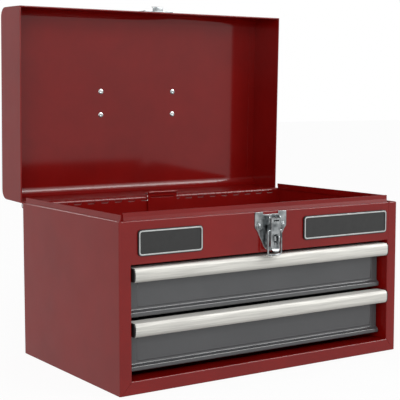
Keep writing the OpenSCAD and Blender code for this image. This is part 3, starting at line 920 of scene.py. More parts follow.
@dataclass
class Case:
    """Body of the box: sides with front stiles, back, floor, top rail and hinge pins."""

    half_w: float = 255
    half_d: float = 155
    shoulder: float = 242
    sheet: float = 1.2
    open_x: float = 236.5
    rail: float = 20
    open_top: float = 181
    inset: float = 3.2
    upstand: float = 11
    side_upstand: float = 8.5
    upstand_end: float = 151.5
    upstand_left: float = -247
    joggle: float = 5.6
    bend: float = 2.2
    inner_bend: float = 1.4
    shoulder_bend: float = 1.2
    stile_back: float = -118
    ledge_back: float = -125
    return_back: float = -139

    def side(self, name: str, upstand_from: float) -> Workpiece:
        """Right-hand side, from its rear edge round to the stile's return.

        Args:
            name: Name of the piece.
            upstand_from: Distance of the upstand's front end behind the inner face of the front upstand.

        Returns:
            The folded side.
        """
        t = self.sheet / 2
        wall, front = self.half_w - t, -self.half_d + t
        top = self.shoulder - t
        stile_in = self.open_x + t
        path = [(wall, self.half_d), (wall, front), (stile_in, front), (stile_in, self.stile_back)]
        piece = fold(name, Axis.Z, path, 0, top, {1: self.bend, 2: self.inner_bend})
        start = -self.half_d + self.inset + t + upstand_from
        ring_x, ring_y = self.half_w - self.inset - t + 0.5, -self.half_d + self.inset + t - 0.5
        for y in (start, self.upstand_end):
            piece.faces(lambda m, n: m.x > wall - 1 and abs(n.x) > 0.99, split((0, y, 0), (0, 1, 0)))

        def is_return(m: Vector, n: Vector) -> bool:
            """Whether a face is on the stile's return."""
            return m.x < stile_in + 1.5 and abs(n.y) < 0.98

        piece.faces(is_return, split((0, 0, self.open_top), (0, 0, 1)))
        piece.faces(lambda m, n: is_return(m, n) and m.z > self.open_top and m.y > front + 1.5, drop)
        # The mitre starts at the wall's lower corner, which the cut has to leave on the wall
        run, rise = wall - self.open_x, self.rail
        piece.faces(
            lambda m, n: m.y < self.stile_back + 1 and not (abs(n.x) > 0.999 and m.x > wall - 1),
            split((self.open_x, 0, self.rail), (rise, 0, run), clear_inner=True),
        )
        piece.edges(
            lambda m, d: near(m.z, top) and (m.x > self.open_x + 1.5 or m.y < front + 0.1),
            extrude(0, 0, 0),
            piece.place(lambda v: (min(v.x, ring_x), max(v.y, ring_y), v.z)),
        )
        piece.verts(everything, weld)
        piece.edges(
            lambda m, d: near(m.z, top) and near(m.x, ring_x) and start < m.y < self.upstand_end,
            extrude(-1, 0, self.joggle),
            extrude(0, 0, self.side_upstand + t - self.joggle),
        )
        piece.edges(
            lambda m, d: near(m.z, top) and self.on_outline(m, wall, front), bevel(self.shoulder_bend)
        )
        return piece.thicken(self.sheet).soften(0.25)

    def on_outline(self, m: Vector, wall: float, front: float) -> bool:
        """Whether a point lies on the outer outline of the side, seen from above.

        Args:
            m: The point.
            wall: Middle of the side's sheet on X.
            front: Middle of the stile's sheet on Y.

        Returns:
            Whether it does.
        """
        corner_x, corner_y = wall - self.bend, front + self.bend
        if m.x > corner_x and m.y < corner_y:
            return math.hypot(m.x - corner_x, m.y - corner_y) > self.bend - 0.2
        return near(m.x, wall) or near(m.y, front)

    def top_rail(self) -> Workpiece:
        """Rail over the drawers with its return, shoulder and upstand.

        Returns:
            The folded rail.
        """
        t = self.sheet / 2
        # The rail lies a hair proud, so that the left stile runs into it without a seam
        proud, overlap = 0.04, 1.9
        front, top = -self.half_d + t - proud, self.shoulder - t + proud
        ring = -self.half_d + self.inset + t
        left, right = -self.open_x - overlap, self.open_x - 0.2
        path = [
            (self.return_back, self.open_top + t),
            (front, self.open_top + t),
            (front, top),
            (ring - 0.5, top),
            (ring + 0.5, top + self.joggle),
            (ring + 0.5, self.shoulder + self.upstand),
        ]
        bends = {1: self.inner_bend, 2: self.shoulder_bend, 3: 0.7, 4: 2.5}
        piece = fold("front_top_rail_panel", Axis.X, path, left, right, bends, 4)
        piece.edges(
            lambda m, d: near(m.x, left) and m.z > self.shoulder + 1 and abs(d.z) > MOSTLY,
            extrude(self.upstand_left - left, 0, 0),
        )
        return piece.thicken(self.sheet).soften(0.3)

    def base(self) -> Workpiece:
        """Floor with the front bottom rail and its ledge.

        Returns:
            The folded floor.
        """
        t = self.sheet / 2
        front = -self.half_d + t
        end = self.half_w - self.sheet
        path = [
            (self.half_d - self.sheet, t), (front, t), (front, self.rail - 1),
            (self.ledge_back, self.rail - 1),
        ]
        piece = fold("floor_tray", Axis.X, path, -end, end, {1: self.inner_bend, 2: self.inner_bend})
        # The rail's mitre keeps a fine gap to the stile's and leaves the floor its corners
        (x0, z0), (x1, z1) = (self.open_x - 0.3, self.rail - 0.4), (end + 0.05, t)
        for side in (-1, 1):
            piece.faces(
                lambda m, n: m.z > t + 0.01,
                split((side * x0, 0, z0), (side * (z0 - z1), 0, x1 - x0), clear_outer=True),
            )
        return piece.thicken(self.sheet).soften(0.25)

    def back(self) -> Workpiece:
        """Back wall with the case's half of the hinge rolled out of its top edge.

        Returns:
            The wall with its knuckles.
        """
        y = self.half_d - self.sheet / 2
        edge = HINGE[2] - KNUCKLE_MID
        end = self.half_w - self.sheet
        piece = fold("back_wall", Axis.X, [(y, 0), (y, edge - 3), (y, edge)], -end, end)
        ring = arc(HINGE[1:], KNUCKLE_MID, 180, -110, 14)
        roll_tabs(piece, SPOTS, [(y, edge), *ring])
        for x in (-BAR_GAP, BAR_GAP):
            piece.faces(everything, split((x, 0, 0), (1, 0, 0)))
        piece.edges(
            lambda m, d: near(m.z, edge) and abs(m.x) < BAR_GAP and abs(d.x) > MOSTLY,
            extrude(0, 0, self.shoulder - 0.5 - edge),
        )
        return piece.thicken(self.sheet).soften(0.2)

    def hinge_pins(self) -> Workpiece:
        """Two pins, each through one run of knuckles.

        Returns:
            Both pins as one piece.
        """
        y, z = HINGE[1:]
        near_end, far_end = BAR_GAP + 0.6, self.half_w - self.sheet
        return joined(
            rod("hinge_pin", 3.35, (s * near_end, y, z), (s * far_end, y, z)).soften(0.6) for s in (-1, 1)
        )

    def build(self) -> None:
        """Makes and dresses the case."""
        self.side("right_side_wall", 18).ship(RED, "case", "right_side_panel")
        self.side("left_side_wall_outer", 0).flipped().ship(RED, "case", "left_side_panel")
        self.top_rail().ship(RED, "case", "front_top_rail")
        self.base().ship(RED, "case", "floor_panel")
        self.back().ship(RED, "case", "back_panel")
        self.hinge_pins().ship(ZINC, "case", "hinge_pins")


@dataclass
class Badge:
    """Bare name plate with a silver border."""

    node: str
    low: Pair
    high: Pair
    face_y: float = -155

    def ring(self, inset_by: float, radius: float) -> list[Pair]:
        """Outline of the plate, inset and rounded."""
        (x0, z0), (x1, z1) = self.low, self.high
        return rounded((x0 + inset_by, z0 + inset_by), (x1 - inset_by, z1 - inset_by), radius)

    def build(self) -> None:
        """Makes the moulded plate and its border."""
        y = self.face_y
        body = panel(f"{self.node}_plate", self.ring(0, 5), y - 2.4, y)
        body.faces(lambda m, n: n.y < -MOSTLY, inset(3), extrude(0, 0.4, 0), inset(0.4))
        body.soften(0.35).ship(FIELD, "case", self.node)
        border = panel(f"{self.node}_border", self.ring(1.1, 4.2), y - 3.2, y - 2)
        border.cut(panel("hole", self.ring(3.0, 3), y - 4, y))
        border.soften(0.3).ship(BORDER, "case", self.node)


# ---------------- lid

OPEN_ANGLE = math.radians(88.5)
RIVET_X = 21.5


def opened(piece: Workpiece) -> Workpiece:
    """Swings a piece that was made on the closed lid to where the open lid has it."""
    pivot = Matrix.Translation(Vector(HINGE) * MM)
    return piece.turned(pivot @ Matrix.Rotation(-OPEN_ANGLE, 4, "X") @ pivot.inverted())


@dataclass
class Lid:
    """Lid shell with its ends, catch and rivets."""

    half_w: float = 255
    half_d: float = 155
    rim: float = 242.5
    top: float = 316
    corner: float = 16
    sheet: float = 1.2
    hem: float = 12
    hem_bend: float = 0.56

    def shell(self) -> Workpiece:
        """Front, top and rear wall from one sheet, with the front hem and the lid's knuckles.

        Returns:
            The shell as the open lid has it.
        """
        t = self.sheet / 2
        y, top = self.half_d - t, self.top - t
        hem_y = -y + self.sheet
        path = [
            (hem_y, self.rim + self.hem), (hem_y, self.rim + t), (-y, self.rim + t), (-y, top), (y, top),
            (y, self.rim),
        ]
        end = self.half_w - self.sheet
        radius = self.corner - t
        bends = {1: self.hem_bend, 2: self.hem_bend, 3: radius, 4: radius}
        piece = fold("lid_wrap", Axis.X, path, -end, end, bends, 10)
        ring = arc(HINGE[1:], KNUCKLE_MID, 180, 470, 14)
        roll_tabs(piece, LID_SPOTS, [(y, self.rim), *ring])
        return opened(piece.thicken(self.sheet).soften(0.2, 2, 50))

    def end(self) -> Workpiece:
        """Right end wall with hem and welded flange.

        Returns:
            The end as the open lid has it.
        """
        inner = self.half_w - self.sheet
        wall = block("lid_end", (inner, -self.half_d, self.rim), (self.half_w, self.half_d, self.top))
        wall.edges(lambda m, d: abs(d.x) > MOSTLY and m.z > self.top - 1, bevel(self.corner, 12))
        wall.edges(lambda m, d: near(m.x, self.half_w, 0.02) and abs(d.x) < 0.5, bevel(0.9, 3))
        # The hem stays clear of the front and rear wall, the flange lies under the top
        two = 2 * self.sheet
        y, z = self.half_d - two, self.rim + self.hem
        hem = block("hem", (inner - 1, -y, self.rim), (inner, y, z)).soften(0.4)
        flat = self.half_d - self.corner
        low, high = (inner - 13, -flat, self.top - two), (inner, flat, self.top - self.sheet)
        flange = block("flange", low, high).soften(0.3)
        return opened(wall.join(hem, flange))

    def catch(self) -> Workpiece:
        """Plate with a hook that the bail pulls on.

        Returns:
            The catch as the open lid has it.
        """
        outline = rounded((-29, self.rim + 2), (29, self.rim + 22), 3)
        foot = panel("lid_catch_plate", outline, -self.half_d - 1.5, -self.half_d).soften(0.4)
        hook = fold("hook", Axis.X, [(-155.6, 248.1), (-163.6, 248.1), (-163.6, 253)], -10, 10, {1: 1.4}, 6)
        return opened(foot.join(hook.thicken(1.2).soften(0.3)))

    def catch_rivets(self) -> Workpiece:
        """Two domed rivets through the catch plate.

        Returns:
            Both rivets as one piece.
        """
        profile = [(0, 0), (1.9, 0), (1.9, 1.5), (3.4, 1.5), (3.2, 2.1), (2.2, 2.6), (1, 2.7), (0, 2.7)]
        places = [(s * RIVET_X, -self.half_d, self.rim + 12) for s in (-1, 1)]
        return opened(studs("catch_rivet_heads", profile, places, (0, -1, 0)))

    def handle_rivets(self) -> Workpiece:
        """Four blind rivets: a flange with a hollow core inside, a formed head outside.

        Returns:
            All rivets as one piece.
        """
        profile = [
            (0, -1.75), (1.1, -1.75), (1.5, -1.95), (1.6, -2.2), (2.4, -2.3), (3.9, -2.0), (4.55, -1.6),
            (4.65, -1.2), (2.3, -1.2), (2.3, 1.6), (3.4, 1.6), (3.3, 2.4), (2.5, 3.3), (1.2, 3.6), (0, 3.6),
        ]
        places = [(x, y, self.top) for x in (-72.5, 72.5) for y in (-20, 20)]
        return opened(studs("handle_rivet_set", profile, places, (0, 0, 1), 28))

    def build(self) -> None:
        """Makes and dresses the lid."""
        self.shell().ship(RED, "lid", "lid_shell")
        right = self.end()
        left = right.mirrored("lid_end_left")
        right.ship(RED, "lid", "lid_right_end")
        left.ship(RED, "lid", "lid_left_end")
        self.catch().ship(NICKEL, "lid", "lid_catch")
        self.catch_rivets().ship(NICKEL, "lid", "catch_rivets")
        self.handle_rivets().ship(RIVET, "lid", "handle_rivets")


@dataclass
class CarryHandle:
    """Folding wire handle with a moulded grip."""

    pivot_y: float = 0
    pivot_z: float = 323
    width: float = 145
    reach: float = 46
    bend: float = 10

    def bow(self) -> Workpiece:
        """Bent rod, from one pivot round to the other.

        Returns:
            The rod as the open lid has it.
        """
        leg, tip, knee = self.width / 2 - 12, self.width / 2 + 7, 3.2
        wire = Wire("carry_handle_rod", 3, (tip, self.pivot_y, self.pivot_z), (-1, 0, 0), 20)
        wire.run(tip - leg - knee).turn(knee, (0, 1, 0)).run(self.reach - self.bend - knee)
        wire.turn(self.bend, (-1, 0, 0)).run(2 * (leg - self.bend)).turn(self.bend, (0, -1, 0))
        wire.run(self.reach - self.bend - knee).turn(knee, (-1, 0, 0)).run(tip - leg - knee)
        return opened(wire.end().soften(0.5, 2, 60))

    def grip(self) -> Workpiece:
        """Moulded grip with finger ribs.

        Returns:
            The grip as the open lid has it.
        """
        half, ribs = self.width / 2 - 26, 9
        profile: list[Pair] = [(0, -half), (4.6, -half), (5.9, -half + 0.7), (6.4, -half + 2)]
        for i in range(ribs):
            at = -half + 5 + (2 * half - 10) * i / (ribs - 1)
            profile += [(6.4, at - 2), (5.7, at - 1), (5.55, at), (5.7, at + 1), (6.4, at + 2)]
        profile += [(6.4, half - 2), (5.9, half - 0.7), (4.6, half), (0, half)]
        place = (0, self.pivot_y + self.reach, self.pivot_z)
        return opened(lathe("carry_handle_moulded_grip", profile, place, (1, 0, 0), 36))

    def build(self) -> None:
        """Makes and dresses the handle."""
        self.bow().ship(ZINC, "carry_handle", "carry_handle_bow")
        self.grip().ship(GRIP, "carry_handle", "carry_handle_grip")
        softened("handle_saddles", "handle_brackets", 0.5).ship(NICKEL, "lid", "handle_brackets")


# ---------------- drawers

# The two drawers and the height of each in the case
LEVELS = {"upper": 103.5, "lower": 27.2}


@dataclass
class Drawer:
    """One drawer: pan, front with rolled lip, pull with end caps."""

    level: str
    z: float
    half_w: float = 223.9
    face_x: float = 231
    face_y: float = -136
    back_y: float = 140
    sheet: float = 1.0
    lip_r: float = 2.2
    pull_z: float = 53
    pull_h: float = 19.8
    pull_half: float = 232.5
    pull_front: float = -157
    bulge: float = 2.4

    @property
    def body(self) -> str:
        """Body that the drawer's pieces ride on."""
        return f"{self.level}_drawer"

    def pan(self) -> Workpiece:
        """Tray bent from one sheet, its back and front lower than its sides.

        Returns:
            The tray.
        """
        x, low, high = self.half_w, self.z + 2, self.z + 64
        piece = block(f"{self.level}_drawer_tray", (-x, self.face_y + 1, low), (x, self.back_y, high))
        piece.faces(lambda m, n: n.z > MOSTLY, drop)
        piece.edges(lambda m, d: near(m.z, low) or abs(d.z) > MOSTLY, bevel(2, 3))
        for way, height in ((1, 58), (-1, 60)):
            level = self.z + height
            piece.faces(lambda m, n: n.y * way > MOSTLY, split((0, 0, level), (0, 0, 1)))
            piece.faces(lambda m, n: n.y * way > MOSTLY and m.z > level, drop)
        return piece.thicken(self.sheet, -1).soften(0.25)

    def front(self) -> Workpiece:
        """Sheet front whose foot steps forward over a ledge into a rolled lip, with a raised field.

        Returns:
            The front with its field.
        """
        y, z = self.face_y, self.z
        lip_y = y - 3
        path = [
            (y, z + 70),
            *arc((y - 2.6, z + 12.8), 2.6, 0, -60, 5),
            *arc((lip_y, z + 6.7), self.lip_r, 120, 180, 5),
            *arc((lip_y, z + 1.6 + self.lip_r), self.lip_r, 180, 270, 6),
            (y - 1, z + 1.6),
        ]
        piece = fold(f"{self.level}_drawer_face", Axis.X, path, -self.face_x, self.face_x)
        piece.thicken(self.sheet, 1).soften(0.25, 2, 50)
        panel_x = self.face_x - 11
        field = block("field", (-panel_x, y - 1.2, z + 14), (panel_x, y + 0.4, z + 53))
        field.faces(lambda m, n: n.y < -MOSTLY, resize((0.985, 1, 0.93), (0, y, z + 33.5)))
        field.edges(lambda m, d: near(m.y, y - 1.2), bevel(1.2, 3))
        return piece.join(field)

    def bow(self, steps: int) -> list[Pair]:
        """Curve of the pull's face, from its top to its foot.

        Args:
            steps: Edges in the curve.

        Returns:
            Its points (y, z).
        """
        z0 = self.z + self.pull_z + 1
        points: list[Pair] = []
        for i in range(steps + 1):
            s = 1 - i / steps
            rise = 1 - abs(2 * s - 1) ** 4
            points.append((self.pull_front - self.bulge * rise, z0 + (self.pull_h - 2) * s))
        return points

    def pull(self) -> Workpiece:
        """Extrusion: top plate, bowed face and foot rolled back, on a rear leg.

        Returns:
            The pull with its leg.
        """
        foot, top = self.z + self.pull_z, self.z + self.pull_z + self.pull_h
        f = self.pull_front
        path = [
            (self.face_y, top), (f + 1.9, top), (f + 0.9, top - 0.15), *self.bow(14),
            (f + 0.7, foot + 0.35), (f + 2, foot), (f + 4, foot + 0.6), (f + 6, foot + 1.6),
        ]
        piece = fold(f"{self.level}_pull_rail", Axis.X, path, -self.pull_half, self.pull_half)
        piece.thicken(1.6, 1).soften(0.25, 2, 50)
        x, y = self.pull_half, self.face_y
        return piece.join(block("leg", (-x, y - 1.6, foot + 4), (x, y, top - 1)).soften(0.3))

    def caps(self) -> Workpiece:
        """Moulded covers on both ends of the pull.

        Returns:
            Both covers as one piece.
        """
        foot, top = self.z + self.pull_z, self.z + self.pull_z + self.pull_h
        f = self.pull_front
        outline = [
            (self.face_y - 1, top - 0.4), (f + 1.6, top - 0.4), *self.bow(10),
            (f + 2, foot + 0.6), (self.face_y - 1, foot + 0.6),
        ]
        right = plate(f"{self.level}_pull_end_caps", Axis.X, outline, self.pull_half, self.pull_half + 1.8)
        right.edges(lambda m, d: near(m.x, self.pull_half + 1.8, 0.02), bevel(0.6, 3))
        return right.join(right.mirrored("cap"))

    def screws(self) -> Workpiece:
        """Countersunk screws with a cross recess, from inside the drawer.

        Returns:
            All screws as one piece.
        """
        profile = [(0, 1.8), (2.2, 1.8), (2.4, 1.7), (3.2, 0.2), (3.1, 0), (0, 0)]
        y, z = self.face_y + 2, self.z + self.pull_z + 4
        made = []
        for x in (-180, -60, 60, 180):
            slots = [
                block("slot", (x - a, y + 1.2, z - b), (x + a, y + 2.4, z + b))
                for a, b in ((0.35, 1.5), (1.5, 0.35))
            ]
            made.append(lathe("pull_screw_set", profile, (x, y, z), (0, 1, 0)).cut(*slots))
        return joined(made)

    def build(self) -> None:
        """Makes and dresses the drawer."""
        name = self.level
        self.pan().ship(GREY, self.body, f"{name}_drawer_pan")
        self.front().ship(GREY, self.body, f"{name}_drawer_front")
        self.pull().ship(PULL, self.body, f"{name}_pull")
        self.caps().ship(CAP, self.body, f"{name}_pull_caps")
        self.screws().ship(ZINC, self.body, f"{name}_pull_screws")


# ---------------- latch


@dataclass
class Latch:
    """Draw latch on the top rail: base, lever, bail, pivot pin and padlock staple."""

    face_y: float = -155
    lever_pivot: Pair = (-163, 229)
    bail_pivot: Pair = (-166, 214)
    lever_x: float = 8.5
    lever_top: float = 232.4
    lever_foot: float = 190
    lug_x: float = 10.4
    rivet_z: float = 220

    def base(self) -> Workpiece:
        """Pressed plate with two ears, folded lugs and rivet bosses.

        Returns:
            The plate with its lugs and bosses.
        """
        y = self.face_y
        half = [
            (14, 237.3), (14, 240.5), (14.8, 241.3), (27.6, 241.3), (28.6, 240.8), (29, 239.8), (29, 220),
            (28.5, 218.2), (24.6, 213.8), (23.2, 211), (20.8, 206),
        ]
        foot = arc((0, 198), 15, -15, -90, 10)
        right = half + foot
        left = [(-x, z) for x, z in reversed(right)][1:]
        piece = panel("latch_base_pressing", right + left, y - 1.5, y)
        piece.edges(lambda m, d: near(m.y, y - 1.5, 0.02) and abs(d.y) < 0.5, bevel(0.55, 3))
        made = []
        for s in (-1, 1):
            x, z = s * RIVET_X, self.rivet_z
            boss = rod("boss", 5.6, (x, y - 0.5, z), (x, y - 3, z))
            boss.edges(lambda m, d: near(m.y, y - 3, 0.02), bevel(1.1, 4))
            low, high = sorted((s * (self.lug_x - 1.4), s * self.lug_x))
            lug = block("lug", (low, y - 12, 222), (high, y - 1, 236))
            lug.edges(lambda m, d: abs(d.x) > MOSTLY and m.y < y - 11, bevel(4, 6))
            lug.soften(0.35)
            made += [boss, lug]
        return piece.join(*made)

    def rivets(self) -> Workpiece:
        """Domed rivet heads on the bosses.

        Returns:
            Both heads as one piece.
        """
        profile = [(0, -3), (1.9, -3), (1.9, 0), (3.4, 0), (3.3, 0.5), (2.5, 1.0), (1.2, 1.2), (0, 1.2)]
        places = [(s * RIVET_X, self.face_y - 3, self.rivet_z) for s in (-1, 1)]
        return studs("latch_rivet_heads", profile, places, (0, -1, 0))

    def lever(self) -> Workpiece:
        """Channel-shaped lever with a curled tip, a window and a slot.

        Returns:
            The lever.
        """
        y = self.face_y
        outline = [
            (y - 15, self.lever_top), (y - 5, self.lever_top), (y - 4, 212), (y - 6, 192),
            (y - 13.5, self.lever_foot), (y - 15, 214),
        ]
        piece = plate("latch_lever_pressing", Axis.X, outline, -self.lever_x, self.lever_x)
        piece.faces(lambda m, n: (n.y > 0.5 or n.z < -0.5) and m.y > y - 14.5, drop)
        curl: list[Step] = []
        for forward, down, narrow in ((0.1, 3, 0.86), (1.2, 2.5, 0.8), (2.0, 1.2, 0.62)):
            curl += [extrude(0, -forward, -down), resize((narrow, 1, 1), (0, 0, 0))]
        piece.edges(lambda m, d: abs(d.x) > MOSTLY and near(m.z, self.lever_foot, 0.2), *curl)
        piece.edges(
            lambda m, d: near(abs(m.x), self.lever_x, 0.1) and m.y < y - 13 and m.z > self.lever_foot,
            bevel(1.5, 4),
        )
        piece.edges(crease(y - 15, self.lever_top), bevel(1.6, 4))
        piece.thicken(1.2, -1)
        window = panel("window", rounded((-3.6, 190.8), (3.6, 209), 3.4, 8), y - 22, y - 8)
        slot = panel("slot", rounded((-5, 227.6), (5, 229.6), 0.9, 3), y - 20, y - 12)
        piece.cut(window, slot)
        return piece.soften(0.25, 2, 45)

    def bail(self) -> Workpiece:
        """Wire loop hung in the lever's cheeks.

        Returns:
            The bail.
        """
        y, z = self.bail_pivot
        tip, leg, length, corner, knee = 5.6, 12.2, 36.3, 4.0, 2.2
        wire = Wire("latch_bail_wire", 1.4, (tip, y, z), (1, 0, 0))
        wire.run(leg - knee - tip).turn(knee, (0, 0, -1), steps=6).run(length - knee - corner)
        wire.turn(corner, (-1, 0, 0)).run(2 * (leg - corner)).turn(corner, (0, 0, 1))
        wire.run(length - knee - corner).turn(knee, (1, 0, 0), steps=6).run(leg - knee - tip)
        return wire.end()

    def staple(self) -> Workpiece:
        """Eye that stands out through the lever's window.

        Returns:
            The staple.
        """
        y = self.face_y
        eye = plate("padlock_eye", Axis.X, rounded((y - 22.5, 196), (y - 1.4, 208), 4.5, 8), -1.2, 1.2)
        eye.cut(plate("hole", Axis.X, rounded((y - 20, 198.5), (y - 4, 205.5), 3.2, 6), -3, 3))
        return eye.soften(0.6, 3)

    def pin(self) -> Workpiece:
        """Pin through the lugs and the lever."""
        y, z = self.lever_pivot
        return rod("lever_pin", 1.45, (-self.lug_x, y, z), (self.lug_x, y, z), 24).soften(0.3)

    def build(self) -> None:
        """Makes and dresses the latch."""
        self.base().ship(NICKEL, "case", "latch_base")
        self.rivets().ship(NICKEL, "case", "latch_rivets")
        self.pin().ship(ZINC, "case", "lever_pivot_pin")
        self.staple().ship(NICKEL, "case", "padlock_staple")
        self.lever().ship(NICKEL, "latch_lever", "latch_lever")
        self.bail().ship(NICKEL, "latch_bail", "latch_bail")


# ---------------- inner works


@dataclass
class LockBar:
    """Bar behind the drawers that the lid pushes down, with its rolled top."""

    y: float = 150.4
    thick: float = 1.6
    left: float = -27
    right: float = 30
    stem: float = 20
    spring_y: float = 146.2
    spring_low: float = 4
    spring_height: float = 24
    drop: float = 8

    def spring(self) -> Workpiece:
        """Coil spring that stands on its seat and lifts the bar by its foot.

        Returns:
            The coil.
        """
        coils, wire = 6, 0.8
        clear_selection()
        bpy.ops.mesh.primitive_circle_add(
            vertices=12, radius=wire * MM, location=(3 * MM, 0, 0), rotation=(math.pi / 2, 0, 0)
        )
        coil = Workpiece("lock_bar_coil_spring")
        pitch = (self.spring_height - 2 * wire) / coils
        coil.modify("SCREW", iterations=coils, screw_offset=pitch * MM, steps=24, render_steps=24)
        coil.edges(everything, fill)
        place = Vector((0, self.spring_y, self.spring_low + wire)) * MM
        return coil.closed().turned(Matrix.Translation(place))

    def bar(self) -> Workpiece:
        """Flat bar with a wide head, a rolled top and a foot.

        Returns:
            The bar.
        """
        mid = self.y + self.thick / 2
        roll = arc((mid - 1.6, 247.6), 1.6, 0, 290, 14)
        head = fold("drawer_lock_bar", Axis.X, [(mid, 193.5), *roll], self.left, self.right)
        head.thicken(self.thick)
        slit = rounded((self.left + 6, 238.5), (self.right - 6, 241), 1.2, 4)
        head.cut(panel("slit", slit, self.y - 1, self.y + 3))
        head.soften(0.3, 2, 50)
        x, y = self.stem, self.y
        stem = block("stem", (-x, y, 28.1), (x, y + self.thick, 193.5)).soften(0.3)
        return head.join(stem, block("foot", (-6, y - 8.4, 28.1), (6, y, 29.7)).soften(0.3))

    def build(self) -> None:
        """Makes and dresses the bar."""
        self.bar().ship(RED, "lock_bar", "lock_bar")
        foot = (0, self.spring_y, self.spring_low)
        seat = rod("lock_bar_spring_seat", 4.2, (*foot[:2], 1.2), foot).soften(0.5)
        seat.ship(ZINC, "case", "lock_bar_spring")
        coil = self.spring().ship(ZINC, "case", "lock_bar_spring")
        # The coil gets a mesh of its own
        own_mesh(coil.obj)


@dataclass(frozen=True)
class Fitting:
    """Small pressing that keeps its CAD shape with softened edges."""

    node: str
    body: str = "case"
    finish: Finish = ZINC
    rounding: float = 0.3

    def build(self) -> None:
        """Makes and dresses the fitting."""
        piece = softened(f"{self.node}_pressed", self.node, self.rounding)
        piece.ship(self.finish, self.body, self.node)


FITTINGS = [
    Fitting("left_rear_bracket"),
    Fitting("right_rear_bracket"),
    Fitting("compartment_floor", finish=RED),
    Fitting("lock_bar_guides"),
    *(Fitting(f"{level}_outer_slides", rounding=0.35) for level in LEVELS),
    *(Fitting(f"{level}_inner_slides", f"{level}_drawer", rounding=0.35) for level in LEVELS),
    *(Fitting(f"{level}_lock_catch", f"{level}_drawer") for level in LEVELS),
    *(Fitting(f"{level}_ball_cages", f"{level}_cages", NICKEL, 0.15) for level in LEVELS),
    Fitting("lock_bar_hooks", "lock_bar"),
    Fitting("lock_bar_pusher", "lid"),
]


def keep(node: str, finish: Finish) -> None:
    """Leaves a CAD node its mesh and dresses it.

    Args:
        node: CAD node.
        finish: What its surface is made of.
    """
    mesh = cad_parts[node].data
    mesh.materials.clear()
    mesh.materials.append(finish.material())
    log.info("%s keeps its mesh", node)


# ---------------- studio


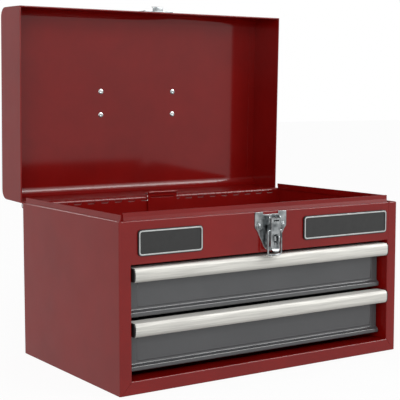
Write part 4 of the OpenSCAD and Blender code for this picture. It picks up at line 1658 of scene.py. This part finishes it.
@dataclass
class Studio:
    """Pale floor, soft lamps and the camera."""

    eye: Triple = (-965.6, -1419.7, 411.2)
    right: Triple = (0.8327, -0.5538, -0.0005)
    down: Triple = (-0.0536, -0.0797, -0.9954)
    ahead: Triple = (0.5512, 0.8288, -0.0961)
    lens: float = 97.4
    target: Triple = (0, 0, 0.25)
    ambient: float = 0.46
    floor_size: float = 24
    floor_share: float = 0.85
    floor_glow: float = 1.08

    def camera(self) -> None:
        """Puts the camera where it sees the left side and the front."""
        data = bpy.data.cameras.new("camera")
        data.lens, data.sensor_width = self.lens, 36
        data.clip_start, data.clip_end = 0.05, 60
        camera = placed("camera", data)
        turn = Matrix((self.right, [-v for v in self.down], [-v for v in self.ahead])).transposed()
        camera.matrix_world = Matrix.Translation(Vector(self.eye) * MM) @ turn.to_4x4()
        bpy.context.scene.camera = camera

    def lamp(self, name: str, place: Triple, size: Pair, power: float, shine: bool = False) -> None:
        """Soft lamp that faces the box.

        Args:
            name: Name of the lamp.
            place: Its middle in metres.
            size: Its length along the front of the box and its width in metres.
            power: Its power in watts.
            shine: Whether it only shows in glossy surfaces, as a bright panel does.
        """
        data = bpy.data.lights.new(name, "AREA")
        data.shape = "RECTANGLE"
        data.size, data.size_y = size
        data.energy = power
        lamp = placed(name, data)
        lamp.location = place
        lamp.visible_diffuse = not shine
        back = (Vector(place) - Vector(self.target)).normalized()
        side = (Vector((1, 0, 0)) - back * back.x).normalized()
        lamp.rotation_euler = Matrix((side, back.cross(side), back)).transposed().to_euler()

    def world(self) -> None:
        """White to the camera and in reflections, and a plain even light otherwise."""
        world = bpy.data.worlds.new("studio_world")
        bpy.context.scene.world = world
        world.use_nodes = True
        tree = world.node_tree
        background = tree.nodes["Background"]
        shown = self.shown(tree)
        strength = add_node(tree, "ShaderNodeMapRange", Value=shown, To_Min=self.ambient, To_Max=1.0)
        background.inputs["Color"].default_value = (1, 1, 1, 1)
        tree.links.new(strength.outputs[0], background.inputs["Strength"])

    def shown(self, tree: bpy.types.NodeTree) -> Socket:
        """1 for rays from the camera, off a glossy surface or through glass, else 0.

        Args:
            tree: Node tree to add to.

        Returns:
            Output that carries the value.
        """
        path = add_node(tree, "ShaderNodeLightPath").outputs
        seen = path["Is Camera Ray"]
        for ray in ("Is Glossy Ray", "Is Transmission Ray"):
            both = {"in_0": seen, "in_1": path[ray]}
            seen = add_node(tree, "ShaderNodeMath", operation="MAXIMUM", **both).outputs[0]
        return seen

    def ground(self) -> None:
        """White table that keeps a faint shadow of the box."""
        clear_selection()
        bpy.ops.mesh.primitive_plane_add(size=self.floor_size, location=(0, 0, -0.0002))
        table = bpy.context.object
        table.name = "studio_floor"
        made = bpy.data.materials.new("studio_floor_white")
        made.use_nodes = True
        tree = made.node_tree
        tree.nodes.clear()
        paint = add_node(tree, "ShaderNodeBsdfDiffuse", Color=(0.8, 0.8, 0.8, 1)).outputs[0]
        glow = add_node(tree, "ShaderNodeEmission", Color=(1, 1, 1, 1), Strength=self.floor_glow).outputs[0]
        share = add_node(
            tree, "ShaderNodeMapRange", Value=self.shown(tree), To_Max=self.floor_share
        ).outputs[0]
        mix = add_node(tree, "ShaderNodeMixShader", in_0=share, in_1=paint, in_2=glow)
        add_node(tree, "ShaderNodeOutputMaterial", Surface=mix.outputs[0])
        table.data.materials.append(made)
        table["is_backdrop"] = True

    def build(self) -> None:
        """Sets up the whole studio."""
        self.camera()
        self.world()
        self.ground()
        self.lamp("key_lamp", (-1.5, -1.9, 0.9), (1.3, 1.1), 16.5)
        self.lamp("fill_lamp", (1.5, -2.1, 1.2), (1.4, 1.0), 9)
        self.lamp("front_panel", (1.15, -1.25, 1.55), (1.9, 0.8), 46, shine=True)
        self.lamp("rear_panel", (-0.5, 1.8, 1.25), (0.5, 0.5), 8, shine=True)
        bpy.context.scene.view_settings.view_transform = "Standard"


def corners() -> list[list[float]]:
    """Lowest and highest corner of the shown object as plain numbers."""
    return [list(point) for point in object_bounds()]


def main() -> None:
    """Builds the sub-assemblies in order."""
    logging.basicConfig(level=logging.INFO, format="%(name)s: %(message)s")
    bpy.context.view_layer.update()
    Studio().build()
    Case().build()
    Badge("left_badge", (-227, 192.5), (-121, 229)).build()
    Badge("right_badge", (62, 194), (230.5, 230)).build()
    Lid().build()
    CarryHandle().build()
    for level, height in LEVELS.items():
        Drawer(level, height).build()
    Latch().build()
    LockBar().build()
    for fitting in FITTINGS:
        fitting.build()
    for level in LEVELS:
        keep(f"{level}_balls", CHROME)


if __name__ == "__main__":
    main()
